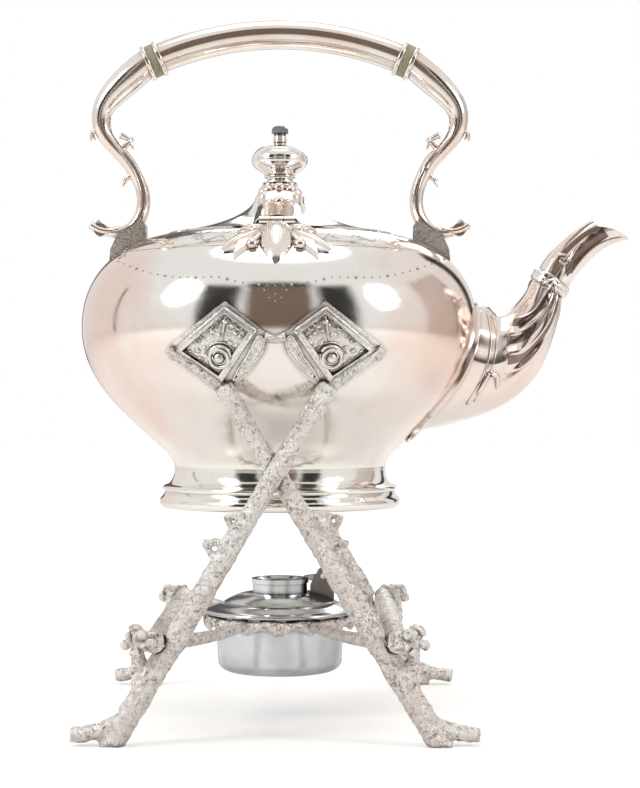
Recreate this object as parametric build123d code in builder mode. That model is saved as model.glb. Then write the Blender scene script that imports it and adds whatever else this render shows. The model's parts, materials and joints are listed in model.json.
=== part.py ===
"""Spirit kettle on a twig-pattern stand, with its lamp.

Millimetres, +Z up, spout towards +X. The origin is on the table, under the middle of the kettle.
"""
from build123d import *
import os
from math import asin, atan2, cos, degrees, hypot, pi, sin, sqrt

# Clearances
seat_gap = 0.05             # between flat faces of pieces that lift apart
curve_gap = 0.3             # between curved faces of pieces that lift apart
pin_gap = 0.05              # radial play of a hinge pin in the knuckle that turns on it

# Kettle: pedestal foot and body
foot_base_z = 103.0         # underside of the foot when the kettle sits in its stand
foot_height = 20.3
foot_spread = 7.1           # the foot's rim outside the neck
foot_wall = 1.5
neck_r = 52.7
belly_rise = 68.6           # neck to widest point
belly_r = 98.4
shoulder_rise = 45.4        # widest point to lid seat
body_wall = 1.3
seat_r = 57.2               # outer edge of the flat land that carries the lid
land_width = 4.2
mouth_lip = 3.0             # depth of the stiffened lip round the mouth
base_plate_thickness = 1.3
strainer_hole_r = 2.0
strainer_pitch = 7.0
strainer_rows = 4

# Kettle: spout
spout_wall = 1.5
flute_depth = 0.05          # share of the spout's radius
flute_count = 10
flange_width = 3.2
flange_height = 1.9
band_length = 5.5
band_height = 1.5
beak_wall = 1.3

# Kettle: handle
grip_span = 126.0           # between the middles of the two insulators
grip_rise = 13.25
handle_height = 108.7       # kettle's rim to the top of the grip
grip_thickness = 14.5
grip_width = 16.0
insulator_length = 4.0
insulator_r = 8.3
collar_length = 2.2
collar_r = 8.9
handle_pin_r = 1.5
handle_pin_length = 18.0
arm_width_share = 1.1       # an arm is this much wider than it is thick
socket_width = 11.0
scroll_share = 0.91         # the arms' scrolls end at this share of the belly's radius
scroll_rise = 3.7           # and this far above the rim

# Lid
lid_margin = 0.9            # land left free round the lid
lid_edge = 1.0
lid_rise = 19.3             # edge to shoulder of the crown
lid_wall = 1.2
crown_r = 12.3
crown_top = 2.3
bezel_depth = 6.0
bezel_wall = 1.0
bezel_gap = 0.8
finial_ring_r = 9.0
finial_ring_height = 4.7
finial_neck_r = 7.2
finial_neck_height = 4.0
knob_r = 14.1
knob_height = 16.5
button_neck_r = 3.0
button_neck_height = 5.0
button_r = 4.1
button_height = 3.5
stud_r = 2.4
stud_gap = 0.1
nut_across = 9.0
nut_height = 3.0

# Lid hinge, at the front of the mouth, with its axis along X
hinge_offset = 4.0          # hinge axis in front of the lid's edge
hinge_rise = 2.3            # hinge axis above the lid seat
knuckle_r = 2.6
knuckle_half = 3.0          # half length of the lid's knuckle
knuckle_side_gap = 0.2
casting_half = 8.5
hinge_pin_r = 1.2
leaf_thickness = 2.2
leaf_reach = 88.5           # tip of the front leaf from the kettle's axis
bud_half = 10.5
bud_r = 4.4

# Stand: crossed legs
frame_inset = 8.4           # middle plane of each pair of legs, inside the belly's radius
leg_foot_x = 74.5
leg_top_x = 24.0
leg_top_drop = 37.9         # cradle's upper edge to the leg tops
leg_lap = 2.4               # each leg stands this far off the pair's plane where they cross
leg_top_r = 4.4
leg_low_r = 5.6
foot_branch_x = 92.5
foot_branch_r = 3.7
crook_top_z = 51.0
crook_r = 3.3
stretcher_r = 5.0
stretcher_out = 8.7         # stretcher's middle outside the leg's, along X
stretcher_z = 47.5
stretcher_overhang = 9.0    # its ends stand this far outside the legs' middle plane

# Stand: cradle
cradle_rise = 9.0           # the panels stand this far above the kettle's widest point
panel_base = 2.3
panel_relief = 1.9
panel_border = 2.7
rosette_r = 5.4
rosette_height = 3.2
bridge_r = 2.4

# Stand: lamp ring
ring_top_z = 50.0
ring_height = 5.6
ring_wall = 3.4
ring_arm_r = 3.6
scallop_count = 18
scallop_r = 5.2
scallop_depth = 1.5

# Lamp
lamp_r = 32.0
lamp_draft = 0.9            # the reservoir is this much smaller in radius at its foot
lamp_height = 28.5
lamp_corner = 5.0
lamp_wall = 1.0
cover_overhang = 6.0        # the cover's flange outside the reservoir
flange_rise = 5.0           # reservoir's top to the burner plate's seat
burner_seat_inset = 4.0
burner_seat_width = 2.7
burner_plate_margin = 0.4
plug_depth = 3.5
burner_rise = 5.2           # burner plate's seat to the foot of the collar
burner_r = 13.6
burner_height = 5.8
burner_wall = 1.0
wick_tube_r = 5.0
wick_tube_wall = 0.8
wick_gap = 0.1
wick_tube_drop = 20.0
wick_stand = 0.9            # the wick stands this far out of its tube
wick_drop = 32.0
snuffer_wall = 1.0
snuffer_dish = 1.2
snuffer_overhang = 0.7
snuffer_hinge_out = 7.9     # hinge axis outside the burner collar
snuffer_hinge_rise = 2.5    # hinge axis above the burner collar's top
snuffer_knuckle_r = 3.4
snuffer_knuckle_half = 2.0
snuffer_block_half = 5.0
snuffer_pin_r = 1.3

# Heights and places that follow from the sizes above
neck_z = foot_base_z + foot_height
belly_z = neck_z + belly_rise
rim_z = belly_z + shoulder_rise
foot_rim_r = neck_r + foot_spread
mouth_r = seat_r - land_width
lid_r = seat_r - lid_margin
grip_top_z = rim_z + handle_height
lid_seat_z = rim_z + seat_gap
crown_z = lid_seat_z + lid_rise
finial_z = crown_z + crown_top
hinge_y = -(lid_r + hinge_offset)
hinge_z = rim_z + hinge_rise
cradle_top_z = belly_z + cradle_rise
flange_r = lamp_r + cover_overhang
burner_seat_r = lamp_r - burner_seat_inset
burner_hole_r = burner_seat_r - burner_seat_width
burner_plate_r = burner_seat_r - burner_plate_margin
burner_seat_z = ring_top_z + flange_rise
collar_z = burner_seat_z + burner_rise
collar_top_z = collar_z + burner_height
snuffer_hinge_x = burner_r + snuffer_hinge_out
snuffer_axis_z = collar_top_z + snuffer_hinge_rise
frame_y = belly_r - frame_inset
leg_top_z = cradle_top_z - leg_top_drop
leg_slope = (leg_foot_x + leg_top_x) / leg_top_z
stretcher_x = leg_foot_x - leg_slope * stretcher_z + stretcher_out
stretcher_end_y = frame_y + stretcher_overhang

# Control points of the outlines, as shares of the way from their first point to their last
LOWER_BODY = [(0, 0), (0.04, 0.185), (1, 0.46), (1, 1)]
UPPER_BODY = [(0, 0), (0, 0.53), (0.374, 0.905), (1, 1)]
LID_CURVE = [(0, 0), (0.461, 0.142), (0.95, 0.525), (1, 1)]


# Half-plane in which turned outlines are drawn; its seam keeps clear of spout, sockets and cradle
turning_plane = Plane((0, 0, 0), x_dir=(1, 1, 0), z_dir=(1, -1, 0))


def at_shares(shares, start, end):
    """Points at the given shares of the way from start to end, each axis by itself."""
    across, up = end[0] - start[0], end[1] - start[1]
    return [(start[0] + a * across, start[1] + b * up) for a, b in shares]


def shifted(curve, gap, start=0.0, samples=6):
    """A curve, from a share of its length on, moved by gap to its right-hand side."""
    if not gap:
        return curve
    points = []
    for step in range(samples + 1):
        share = start + (1 - start) * step / samples
        tangent = curve % share
        points.append(curve @ share + Vector(tangent.Y, -tangent.X) * gap)
    return Spline(*points, tangents=[curve % start, curve % 1])


lower_body = Bezier(*at_shares(LOWER_BODY, (neck_r, neck_z), (belly_r, belly_z)))
upper_body = Bezier(*at_shares(UPPER_BODY, (belly_r, belly_z), (seat_r, rim_z)))
lid_curve = Bezier(*at_shares(LID_CURVE, (lid_r, lid_seat_z + lid_edge), (crown_r, crown_z)))


def body_solid(gap=0.0):
    """The body's outer form, grown by gap, with no hollow."""
    lower, upper = shifted(lower_body, gap), shifted(upper_body, gap)
    with BuildPart() as solid:
        with BuildSketch(turning_plane):
            with BuildLine():
                add(lower)
                add(upper)
                Polyline(upper @ 1, (0, (upper @ 1).Y), (0, (lower @ 0).Y), lower @ 0)
            make_face()
        revolve(axis=Axis.Z)
    return solid.part


def cradle_solid(gap):
    """What the kettle sweeps as it is lifted out of its cradle, grown by gap."""
    lower = shifted(lower_body, gap)
    top = cradle_top_z + panel_base
    with BuildPart() as solid:
        with BuildSketch(turning_plane):
            with BuildLine():
                add(lower)
                Polyline(lower @ 1, (belly_r + gap, top), (0, top), (0, (lower @ 0).Y), lower @ 0)
            make_face()
        revolve(axis=Axis.Z)
    return solid.part


def lid_solid(gap=0.0):
    """The lid's outer form, grown by gap, with no hollow."""
    curve = shifted(lid_curve, gap)
    with BuildPart() as solid:
        with BuildSketch(Plane.XZ):
            with BuildLine():
                add(curve)
                Polyline(
                    curve @ 1, (crown_r, finial_z + gap), (0, finial_z + gap),
                    (0, lid_seat_z), ((curve @ 0).X, lid_seat_z), curve @ 0,
                )
            make_face()
        revolve(axis=Axis.Z)
    return solid.part


def belly_radius(z):
    """Radius of the lower body at a height, by halving the stretch of the curve that holds it."""
    low, high = 0.0, 1.0
    for _ in range(24):
        middle = (low + high) / 2
        if (lower_body @ middle).Y < z:
            low = middle
        else:
            high = middle
    return (lower_body @ low).X


def save(piece, name):
    """Label a finished piece and write its file."""
    piece.part.label = name
    export_step(piece.part, f"parts/{name}.step")


def twig(points, radii):
    """Inside a part: a tapering branch through points, each with its radius."""
    last, sections = len(points) - 1, []
    for i, (point, radius) in enumerate(zip(points, radii)):
        before, after = points[max(i - 1, 0)], points[min(i + 1, last)]
        run = Vector(*after) - Vector(*before)
        with BuildSketch(Plane(origin=point, z_dir=run)) as section:
            Circle(radius)
        sections.append(section.sketch)
    loft(sections)


def largest(part):
    """The biggest solid of a part."""
    return part.solids().sort_by(SortBy.VOLUME)[-1]


def save_form(form, name):
    """Save a form that was made and placed outside a part of its own."""
    with BuildPart() as piece:
        add(form)
    save(piece, name)


os.makedirs("parts", exist_ok=True)
body_form = body_solid()

# ---------------------------------------------------------------- kettle body
# Upper and lower end of the spout's root, from the kettle's widest point in X and Z
ROOT_UPPER, ROOT_LOWER = (-1.4, 10.4), (-34.0, -54.1)


def from_belly(point):
    """A point in X and Z that moves with the kettle's widest point."""
    return (belly_r + point[0], belly_z + point[1])


def section_plane(upper, lower):
    """Plane of a spout section, from its upper and lower points in X and Z."""
    (ux, uz), (lx, lz) = upper, lower
    size = hypot(ux - lx, uz - lz)
    across = ((ux - lx) / size, (uz - lz) / size)
    middle = ((ux + lx) / 2, 0, (uz + lz) / 2)
    return Plane(middle, x_dir=(across[0], 0, across[1]), z_dir=(across[1], 0, -across[0]))


root_plane = section_plane(from_belly(ROOT_UPPER), from_belly(ROOT_LOWER))
inner_lower, inner_upper = shifted(lower_body, -body_wall), shifted(upper_body, -body_wall)
lip_z = rim_z - mouth_lip
with BuildPart() as kettle_body:
    with BuildSketch(turning_plane):
        with BuildLine():
            add(lower_body)
            add(upper_body)
            Polyline(upper_body @ 1, (mouth_r, rim_z), (mouth_r, lip_z), (mouth_r + body_wall, lip_z), inner_upper @ 1)
            add(inner_upper)
            add(inner_lower)
            Polyline(inner_lower @ 0, (neck_r - body_wall, neck_z), lower_body @ 0)
        make_face()
    revolve(axis=Axis.Z)
    with BuildSketch(root_plane):
        with GridLocations(strainer_pitch, strainer_pitch, strainer_rows, strainer_rows):
            Circle(strainer_hole_r)
    extrude(amount=belly_r / 2, mode=Mode.SUBTRACT)
save(kettle_body, "kettle_body")

with BuildPart() as base_plate:
    with BuildSketch(Plane.XY.offset(neck_z)):
        Circle(neck_r - body_wall)
    extrude(amount=base_plate_thickness)
save(base_plate, "base_plate")

foot_flange_r = neck_r - body_wall - 3
with BuildPart() as kettle_foot:
    rim, drop, spread = foot_rim_r, foot_height, foot_rim_r - neck_r
    with BuildSketch(Plane.XZ):
        with BuildLine():
            outer = Polyline(
                (foot_flange_r, neck_z), (neck_r, neck_z), (neck_r, neck_z - 0.09 * drop),
            )
            cove = Bezier(
                outer @ 1, (neck_r, neck_z - 0.3 * drop),
                (neck_r + 0.3 * spread, neck_z - 0.45 * drop), (rim - 0.4 * spread, neck_z - 0.46 * drop),
            )
            bead = ThreePointArc(
                cove @ 1, (rim - 0.22 * spread, neck_z - 0.53 * drop), (rim - 0.36 * spread, neck_z - 0.6 * drop)
            )
            skirt = Bezier(
                bead @ 1, (rim - 0.3 * spread, neck_z - 0.74 * drop),
                (rim, neck_z - 0.74 * drop), (rim, neck_z - 0.85 * drop),
            )
            rolled = ThreePointArc(
                skirt @ 1, (rim - 0.05 * spread, foot_base_z + 0.06 * drop), (rim - 0.2 * spread, foot_base_z)
            )
            inner_r = rim - 0.2 * spread - foot_wall
            Line(rolled @ 1, (inner_r, foot_base_z))
            hollow = Bezier(
                (inner_r, foot_base_z), (inner_r, neck_z - 0.75 * drop),
                (neck_r - foot_wall, neck_z - 0.7 * drop), (neck_r - foot_wall, neck_z - 0.2 * drop),
            )
            Polyline(hollow @ 1, (neck_r - foot_wall, neck_z - foot_wall), (foot_flange_r, neck_z - foot_wall),
                     (foot_flange_r, neck_z))
        make_face()
    revolve(axis=Axis.Z)
save(kettle_foot, "kettle_foot")

# ---------------------------------------------------------------- spout
# Each section: upper point, lower point (X and Z from the widest point), half width, flute share
SPOUT_SECTIONS = [
    (ROOT_UPPER, ROOT_LOWER, 25.0, 0.0),
    ((9.6, 7.3), (-0.4, -44.3), 20.5, 0.5),
    ((15.1, 8.1), (19.6, -34.1), 17.0, 1.0),
    ((21.4, 14.0), (34.2, -15.4), 13.6, 1.0),
    ((25.4, 20.1), (41.3, 6.1), 10.2, 0.9),
    ((27.9, 24.8), (42.3, 15.3), 8.3, 0.6),
]
BEAK_SECTIONS = [
    ((31.1, 29.6), (45.5, 20.1), 8.3, 0.0),
    ((35.5, 36.4), (49.6, 26.4), 7.8, 0.6),
    ((43.0, 44.4), (57.1, 34.6), 7.6, 1.0),
    ((51.2, 50.9), (65.1, 40.7), 7.4, 0.6),
    ((59.1, 55.7), (76.1, 44.3), 6.8, 0.0),
]
UPPER_LIP, MOUTH_NOTCH, MOUTH_MIDDLE, LOWER_LIP = (57.3, 54.3), (59.6, 50.3), (67.8, 48.7), (76.1, 44.3)
section_points = 4 * flute_count
bore_overrun = 3.0


def spout_section(section, inset):
    """Closed outline across the spout; the flutes run along its two sides."""
    upper, lower, half_width, share = section
    half_height = hypot(upper[0] - lower[0], upper[1] - lower[1]) / 2 - inset
    outline = []
    for step in range(section_points):
        turn = 2 * pi * step / section_points
        wave = cos(flute_count * (turn - pi / 2)) - 1
        swell = 1 + flute_depth * share * wave * sin(turn) ** 2
        outline.append((half_height * swell * cos(turn), (half_width - inset) * swell * sin(turn)))
    with BuildSketch(section_plane(from_belly(upper), from_belly(lower))) as across:
        with BuildLine():
            Spline(*outline, periodic=True)
        make_face()
    return across.sketch


def spout_form(sections, inset=0.0):
    """The loft through a list of spout sections; one drawn in by inset runs on past both ends."""
    outlines = [spout_section(section, inset) for section in sections]
    if inset:
        first, last = [section_plane(*section[:2]).z_dir * bore_overrun for section in (sections[0], sections[-1])]
        outlines = [Pos(-first) * outlines[0]] + outlines + [Pos(last) * outlines[-1]]
    with BuildPart() as form:
        loft(outlines)
    return form.part


spout_outer, spout_bore = spout_form(SPOUT_SECTIONS), spout_form(SPOUT_SECTIONS, spout_wall)
with BuildPart() as spout:
    add(spout_outer)
    add(spout_bore, mode=Mode.SUBTRACT)
    add(body_form, mode=Mode.SUBTRACT)
save(spout, "spout")

root_half = hypot(ROOT_UPPER[0] - ROOT_LOWER[0], ROOT_UPPER[1] - ROOT_LOWER[1]) / 2
flange_form = body_solid(flange_height)
with BuildPart() as spout_flange:
    with BuildSketch(root_plane):
        Ellipse(root_half + flange_width, SPOUT_SECTIONS[0][2] + flange_width)
    extrude(amount=belly_r)
    add(flange_form, mode=Mode.INTERSECT)
    add(body_form, mode=Mode.SUBTRACT)
    add(spout_outer, mode=Mode.SUBTRACT)
save(spout_flange, "spout_flange")

# The cast band is a piece of its own between spout and beak
band_upper, band_lower, band_half_width, _ = SPOUT_SECTIONS[-1]
band_half = hypot(band_upper[0] - band_lower[0], band_upper[1] - band_lower[1]) / 2
with BuildPart() as spout_band:
    with BuildSketch(section_plane(from_belly(band_upper), from_belly(band_lower))):
        Ellipse(band_half + band_height, band_half_width + band_height)
    extrude(amount=band_length)
    chamfer(edges().filter_by(GeomType.ELLIPSE), band_height / 2)
    with BuildSketch(section_plane(from_belly(band_upper), from_belly(band_lower))):
        Ellipse(band_half - spout_wall, band_half_width - spout_wall)
    extrude(amount=band_length, mode=Mode.SUBTRACT)
save(spout_band, "spout_band")

beak_outer, beak_bore = spout_form(BEAK_SECTIONS), spout_form(BEAK_SECTIONS, beak_wall)
lip_reach = 2 * belly_r
with BuildPart() as spout_beak:
    add(beak_outer)
    add(beak_bore, mode=Mode.SUBTRACT)
    with BuildSketch(Plane.XZ):
        with BuildLine():
            notch, middle, lower_lip = [from_belly(point) for point in (MOUTH_NOTCH, MOUTH_MIDDLE, LOWER_LIP)]
            upper_lip = from_belly(UPPER_LIP)
            ThreePointArc(notch, middle, lower_lip)
            Polyline(lower_lip, (lip_reach, lower_lip[1]), (lip_reach, grip_top_z), (upper_lip[0], grip_top_z),
                     upper_lip, notch)
        make_face()
    extrude(amount=belly_r / 4, both=True, mode=Mode.SUBTRACT)
save(spout_beak, "spout_beak")

# ---------------------------------------------------------------- handle
grip_half = grip_span / 2
arc_r = (grip_half ** 2 + grip_rise ** 2) / (2 * grip_rise)
arc_z = grip_top_z - grip_thickness / 2 - arc_r
insulator_turn = asin(grip_half / arc_r)


# Across the grip, in the middle of the right insulator; the joint is straight along its axis
joint = Plane((arc_r * sin(insulator_turn), 0, arc_z + arc_r * cos(insulator_turn)), x_dir=(0, 1, 0),
              z_dir=(cos(insulator_turn), 0, -sin(insulator_turn)))


def save_mirrored(name, build):
    """Make a piece on the right, mirror it to the left, and save both."""
    for side in ("right", "left"):
        with BuildPart() as piece:
            add(build)
            if side == "left":
                mirror(about=Plane.YZ, mode=Mode.REPLACE)
        save(piece, f"{name}_{side}")


insulator_half = insulator_length / 2
pin_hole_r = handle_pin_r + pin_gap
with BuildPart() as insulator:
    with BuildSketch(joint.offset(-insulator_half)):
        Circle(insulator_r)
        Circle(pin_hole_r, mode=Mode.SUBTRACT)
    extrude(amount=insulator_length)
save_mirrored("handle_insulator", insulator.part)

collar_places = {"arm_collar": insulator_half, "grip_collar": -insulator_half - collar_length}
for name, start in collar_places.items():
    with BuildPart() as collar:
        with BuildSketch(joint.offset(start)):
            Circle(collar_r)
            Circle(pin_hole_r, mode=Mode.SUBTRACT)
        extrude(amount=collar_length)
        fillet(collar.edges().filter_by(GeomType.CIRCLE).group_by(SortBy.RADIUS)[-1], collar_length / 3)
    save_mirrored(name, collar.part)

joint_length = insulator_half + collar_length
with BuildPart() as handle_pins:
    with BuildSketch(joint.offset(-handle_pin_length / 2)):
        Circle(handle_pin_r)
    extrude(amount=handle_pin_length)
    mirror(about=Plane.YZ)
save(handle_pins, "handle_pins")

with BuildPart() as handle_grip:
    with BuildLine(Plane.XZ):
        CenterArc((0, arc_z), arc_r, 90, -degrees(insulator_turn))
    with BuildSketch(Plane((0, 0, arc_z + arc_r), x_dir=(0, 1, 0), z_dir=(1, 0, 0))):
        Ellipse(grip_width / 2, grip_thickness / 2)
    sweep()
    split(bisect_by=joint.offset(-joint_length), keep=Keep.BOTTOM)
    with BuildSketch(joint.offset(-handle_pin_length / 2)):
        Circle(pin_hole_r)
    extrude(amount=handle_pin_length / 2, mode=Mode.SUBTRACT)
    mirror(about=Plane.YZ)
save(handle_grip, "handle_grip")

# Right arm: shares of the way from the joint to the scroll's end in X and Z, and half thickness
ARM_LINE = [
    (0.426, 0.099, 7.1), (0.828, 0.213, 5.9), (0.996, 0.324, 4.7), (0.9, 0.432, 3.9), (0.581, 0.537, 3.5),
    (0.263, 0.646, 3.4), (0.073, 0.783, 3.3), (0.109, 0.908, 3.3), (0.343, 0.993, 3.1), (0.669, 1.019, 2.7),
    (1.0, 1.0, 2.4),
]
ARM_SPURS = [((0.559, 0.523), (0.316, 0.452)), ((0.241, 0.668), (0.475, 0.696))]
arm_bend = 5                # section at which the loft is taken up anew
spur_root_r, spur_tip_r = 1.7, 0.9
scroll_end_r = 3.2
arm_start = joint.offset(joint_length)
arm_top = (arm_start.origin.X, arm_start.origin.Z)
scroll = (scroll_share * belly_r, rim_z + scroll_rise)
arm_points = [arm_top] + at_shares([step[:2] for step in ARM_LINE], arm_top, scroll)
arm_halves = [grip_thickness / 2] + [step[2] for step in ARM_LINE]
arm_sections = []
for i, ((x, z), half) in enumerate(zip(arm_points, arm_halves)):
    (bx, bz), (ax, az) = arm_points[max(i - 1, 0)], arm_points[min(i + 1, len(ARM_LINE))]
    place = Plane((x, 0, z), x_dir=(0, 1, 0), z_dir=(ax - bx, 0, az - bz)) if i else arm_start
    arm_sections.append(place * Ellipse(half * arm_width_share, half))
with BuildPart() as handle_arm:
    loft(arm_sections[:arm_bend + 1])
    loft(arm_sections[arm_bend:])
    for spur in ARM_SPURS:
        (root_x, root_z), (tip_x, tip_z) = at_shares(spur, arm_top, scroll)
        twig([(root_x, 0, root_z), (tip_x, 0, tip_z)], [spur_root_r, spur_tip_r])
        with Locations((tip_x, 0, tip_z)):
            Sphere(1.4 * spur_tip_r)
    with Locations((scroll[0], 0, scroll[1])):
        Cylinder(scroll_end_r, 2 * arm_halves[-1] * arm_width_share, rotation=(90, 0, 0))
    with BuildSketch(joint):
        Circle(pin_hole_r)
    extrude(amount=handle_pin_length / 2, mode=Mode.SUBTRACT)
save_mirrored("handle_arm", handle_arm.part)

# Corners of the socket, from the end of the scroll; what lies inside the body is cut away
SOCKET = [(-23.7, -24.0), (-4.0, -24.0), (-5.3, -10.0), (-9.0, -1.8), (-15.0, 0.5), (-20.0, 5.0), (-22.7, 2.5)]
with BuildPart() as handle_socket:
    with BuildSketch(Plane.XZ):
        Polygon(*[(scroll[0] + x, scroll[1] + z) for x, z in SOCKET], align=None)
    extrude(amount=socket_width / 2, both=True)
    fillet(edges().filter_by(Axis.Y).sort_by(Axis.Z)[2:], 0.8)
    add(body_form, mode=Mode.SUBTRACT)
    add(handle_arm.part, mode=Mode.SUBTRACT)
save_mirrored("handle_socket", largest(handle_socket.part))

# ---------------------------------------------------------------- lid
land_r = mouth_r - bezel_gap - bezel_wall
underside_start = 0.2       # share of the lid's curve where the flat land under its edge ends
crown_flat_r = 0.75 * crown_r
stud_hole_r = stud_r + stud_gap
lid_form = lid_solid()

with BuildPart() as lid:
    inner = shifted(lid_curve, -lid_wall, underside_start)
    ceiling_z = finial_z - 2 * lid_wall
    with BuildSketch(Plane.XZ):
        with BuildLine():
            add(lid_curve)
            ThreePointArc(lid_curve @ 1, (crown_r * 0.93, crown_z + crown_top * 0.7), (crown_flat_r, finial_z))
            Polyline(
                (crown_flat_r, finial_z), (stud_hole_r, finial_z), (stud_hole_r, ceiling_z),
                (crown_flat_r, ceiling_z), inner @ 1,
            )
            add(inner)
            Polyline(inner @ 0, (land_r, lid_seat_z), (lid_r, lid_seat_z), lid_curve @ 0)
        make_face()
    revolve(axis=Axis.Z)
save(lid, "lid")

bezel_r = mouth_r - bezel_gap
with BuildPart() as lid_bezel:
    with BuildSketch(Plane.XY.offset(lid_seat_z - bezel_depth)):
        Circle(bezel_r)
        Circle(bezel_r - bezel_wall, mode=Mode.SUBTRACT)
    extrude(amount=bezel_depth)
save(lid_bezel, "lid_bezel")

neck_top_z = finial_z + finial_ring_height + finial_neck_height
with BuildPart() as finial_collar:
    ring_z = finial_z + finial_ring_height
    with BuildSketch(Plane.XZ):
        with BuildLine():
            foot = Line((finial_neck_r, finial_z), (finial_ring_r - 1, finial_z))
            ring = ThreePointArc(foot @ 1, (finial_ring_r, (finial_z + ring_z) / 2), (finial_ring_r - 1, ring_z))
            waist = ThreePointArc(
                ring @ 1, (finial_neck_r - 0.6, ring_z + 0.35 * finial_neck_height), (finial_neck_r, neck_top_z)
            )
            Polyline(waist @ 1, (0, neck_top_z), (0, finial_z), foot @ 0)
        make_face()
    revolve(axis=Axis.Z)
    with BuildSketch(Plane.XY.offset(finial_z)):
        Circle(stud_r)
    extrude(amount=-(2 * lid_wall + nut_height + stud_r))
save(finial_collar, "finial_collar")

knob_top_z = neck_top_z + knob_height
with BuildPart() as finial_knob:
    with BuildSketch(Plane.XZ):
        with BuildLine():
            flare = Line((0, neck_top_z), (finial_neck_r, neck_top_z))
            cup = Bezier(
                flare @ 1, (finial_neck_r + 1, neck_top_z + 0.18 * knob_height),
                (knob_r, neck_top_z + 0.2 * knob_height), (knob_r, neck_top_z + 0.48 * knob_height),
            )
            dome = Bezier(
                cup @ 1, (knob_r, neck_top_z + 0.75 * knob_height),
                (button_neck_r + 6.5, knob_top_z - 1.5), (button_neck_r + 0.8, knob_top_z),
            )
            Polyline(dome @ 1, (0, knob_top_z), (0, neck_top_z))
        make_face()
    revolve(axis=Axis.Z)
save(finial_knob, "finial_knob")

button_z = knob_top_z + button_neck_height
with BuildPart() as finial_button:
    with BuildSketch(Plane.XY.offset(knob_top_z)):
        Circle(button_neck_r)
    extrude(amount=button_neck_height)
    with BuildSketch(Plane.XY.offset(button_z)):
        RegularPolygon(button_r, 8)
    extrude(amount=button_height)
    chamfer(faces().sort_by(Axis.Z)[-1].edges(), button_height / 3)
save(finial_button, "finial_button")

with BuildPart() as finial_nut:
    with BuildSketch(Plane.XY.offset(finial_z - 2 * lid_wall - nut_height)):
        RegularPolygon(nut_across / 2, 6, major_radius=False)
        Circle(stud_hole_r, mode=Mode.SUBTRACT)
    extrude(amount=nut_height)
save(finial_nut, "finial_nut")

# ---------------------------------------------------------------- lid hinge
hinge_axis = Plane((0, hinge_y, hinge_z), x_dir=(0, 1, 0), z_dir=(1, 0, 0))
pin_hole = hinge_pin_r + pin_gap


def seat_point(y, gap, outline):
    """Height of a turned outline at a distance from the axis, plus a gap."""
    low, high = 0.0, 1.0
    for _ in range(24):
        middle = (low + high) / 2
        if (outline @ middle).X > abs(y):
            low = middle
        else:
            high = middle
    return (outline @ low).Y + gap


# Strap on the lid's front slope: share of the way from the hinge to the bud, half width, half height
STRAP = [(0.0, 8.6, 2.3), (0.3, 7.4, 2.6), (0.65, 7.2, 2.8), (1.0, 8.4, 3.4)]
bud_y = -(crown_r + bud_r * 0.9)
bud_z = seat_point(bud_y, bud_r * 0.75, lid_curve)
strap_start, strap_end = 1.5 - lid_r, bud_y - bud_r * 0.6
strap_lift = 1.6            # middle of the strap above the lid
strap_sections = []
for share, half_width, half_height in STRAP:
    strap_y = strap_start + share * (strap_end - strap_start)
    place = Plane((0, strap_y, seat_point(strap_y, strap_lift, lid_curve)), x_dir=(1, 0, 0), z_dir=(0, 1, 0.3))
    strap_sections.append(place * Ellipse(half_width, half_height))
with BuildPart() as hinge_strap:
    loft(strap_sections)
    with BuildSketch(Plane((0, bud_y, bud_z), x_dir=(1, 0, 0), z_dir=(0, -1, 0))):
        RectangleRounded(2 * bud_half, 2 * bud_r, bud_r * 0.85)
        Rectangle(2 * bud_half, bud_r, align=(Align.CENTER, Align.MAX), mode=Mode.SUBTRACT)
    revolve(axis=Axis((0, bud_y, bud_z), (1, 0, 0)))
    add(lid_form, mode=Mode.SUBTRACT)
    add(finial_collar.part, mode=Mode.SUBTRACT)
    with BuildSketch(hinge_axis.offset(-knuckle_half)):
        Circle(knuckle_r)
    extrude(amount=2 * knuckle_half)
    with BuildSketch(Plane.YZ.offset(-knuckle_half)):
        Polygon((hinge_y, hinge_z), (hinge_y, hinge_z + knuckle_r), (strap_start + 1, hinge_z + knuckle_r),
                (strap_start + 1, hinge_z), align=None)
    extrude(amount=2 * knuckle_half)
    add(lid_form, mode=Mode.SUBTRACT)
    with BuildSketch(hinge_axis.offset(-knuckle_half)):
        Circle(pin_hole)
    extrude(amount=2 * knuckle_half, mode=Mode.SUBTRACT)
save(hinge_strap, "hinge_strap")

with BuildPart() as hinge_pin:
    with BuildSketch(hinge_axis.offset(-casting_half)):
        Circle(hinge_pin_r)
    extrude(amount=2 * casting_half)
save(hinge_pin, "hinge_pin")

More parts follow.
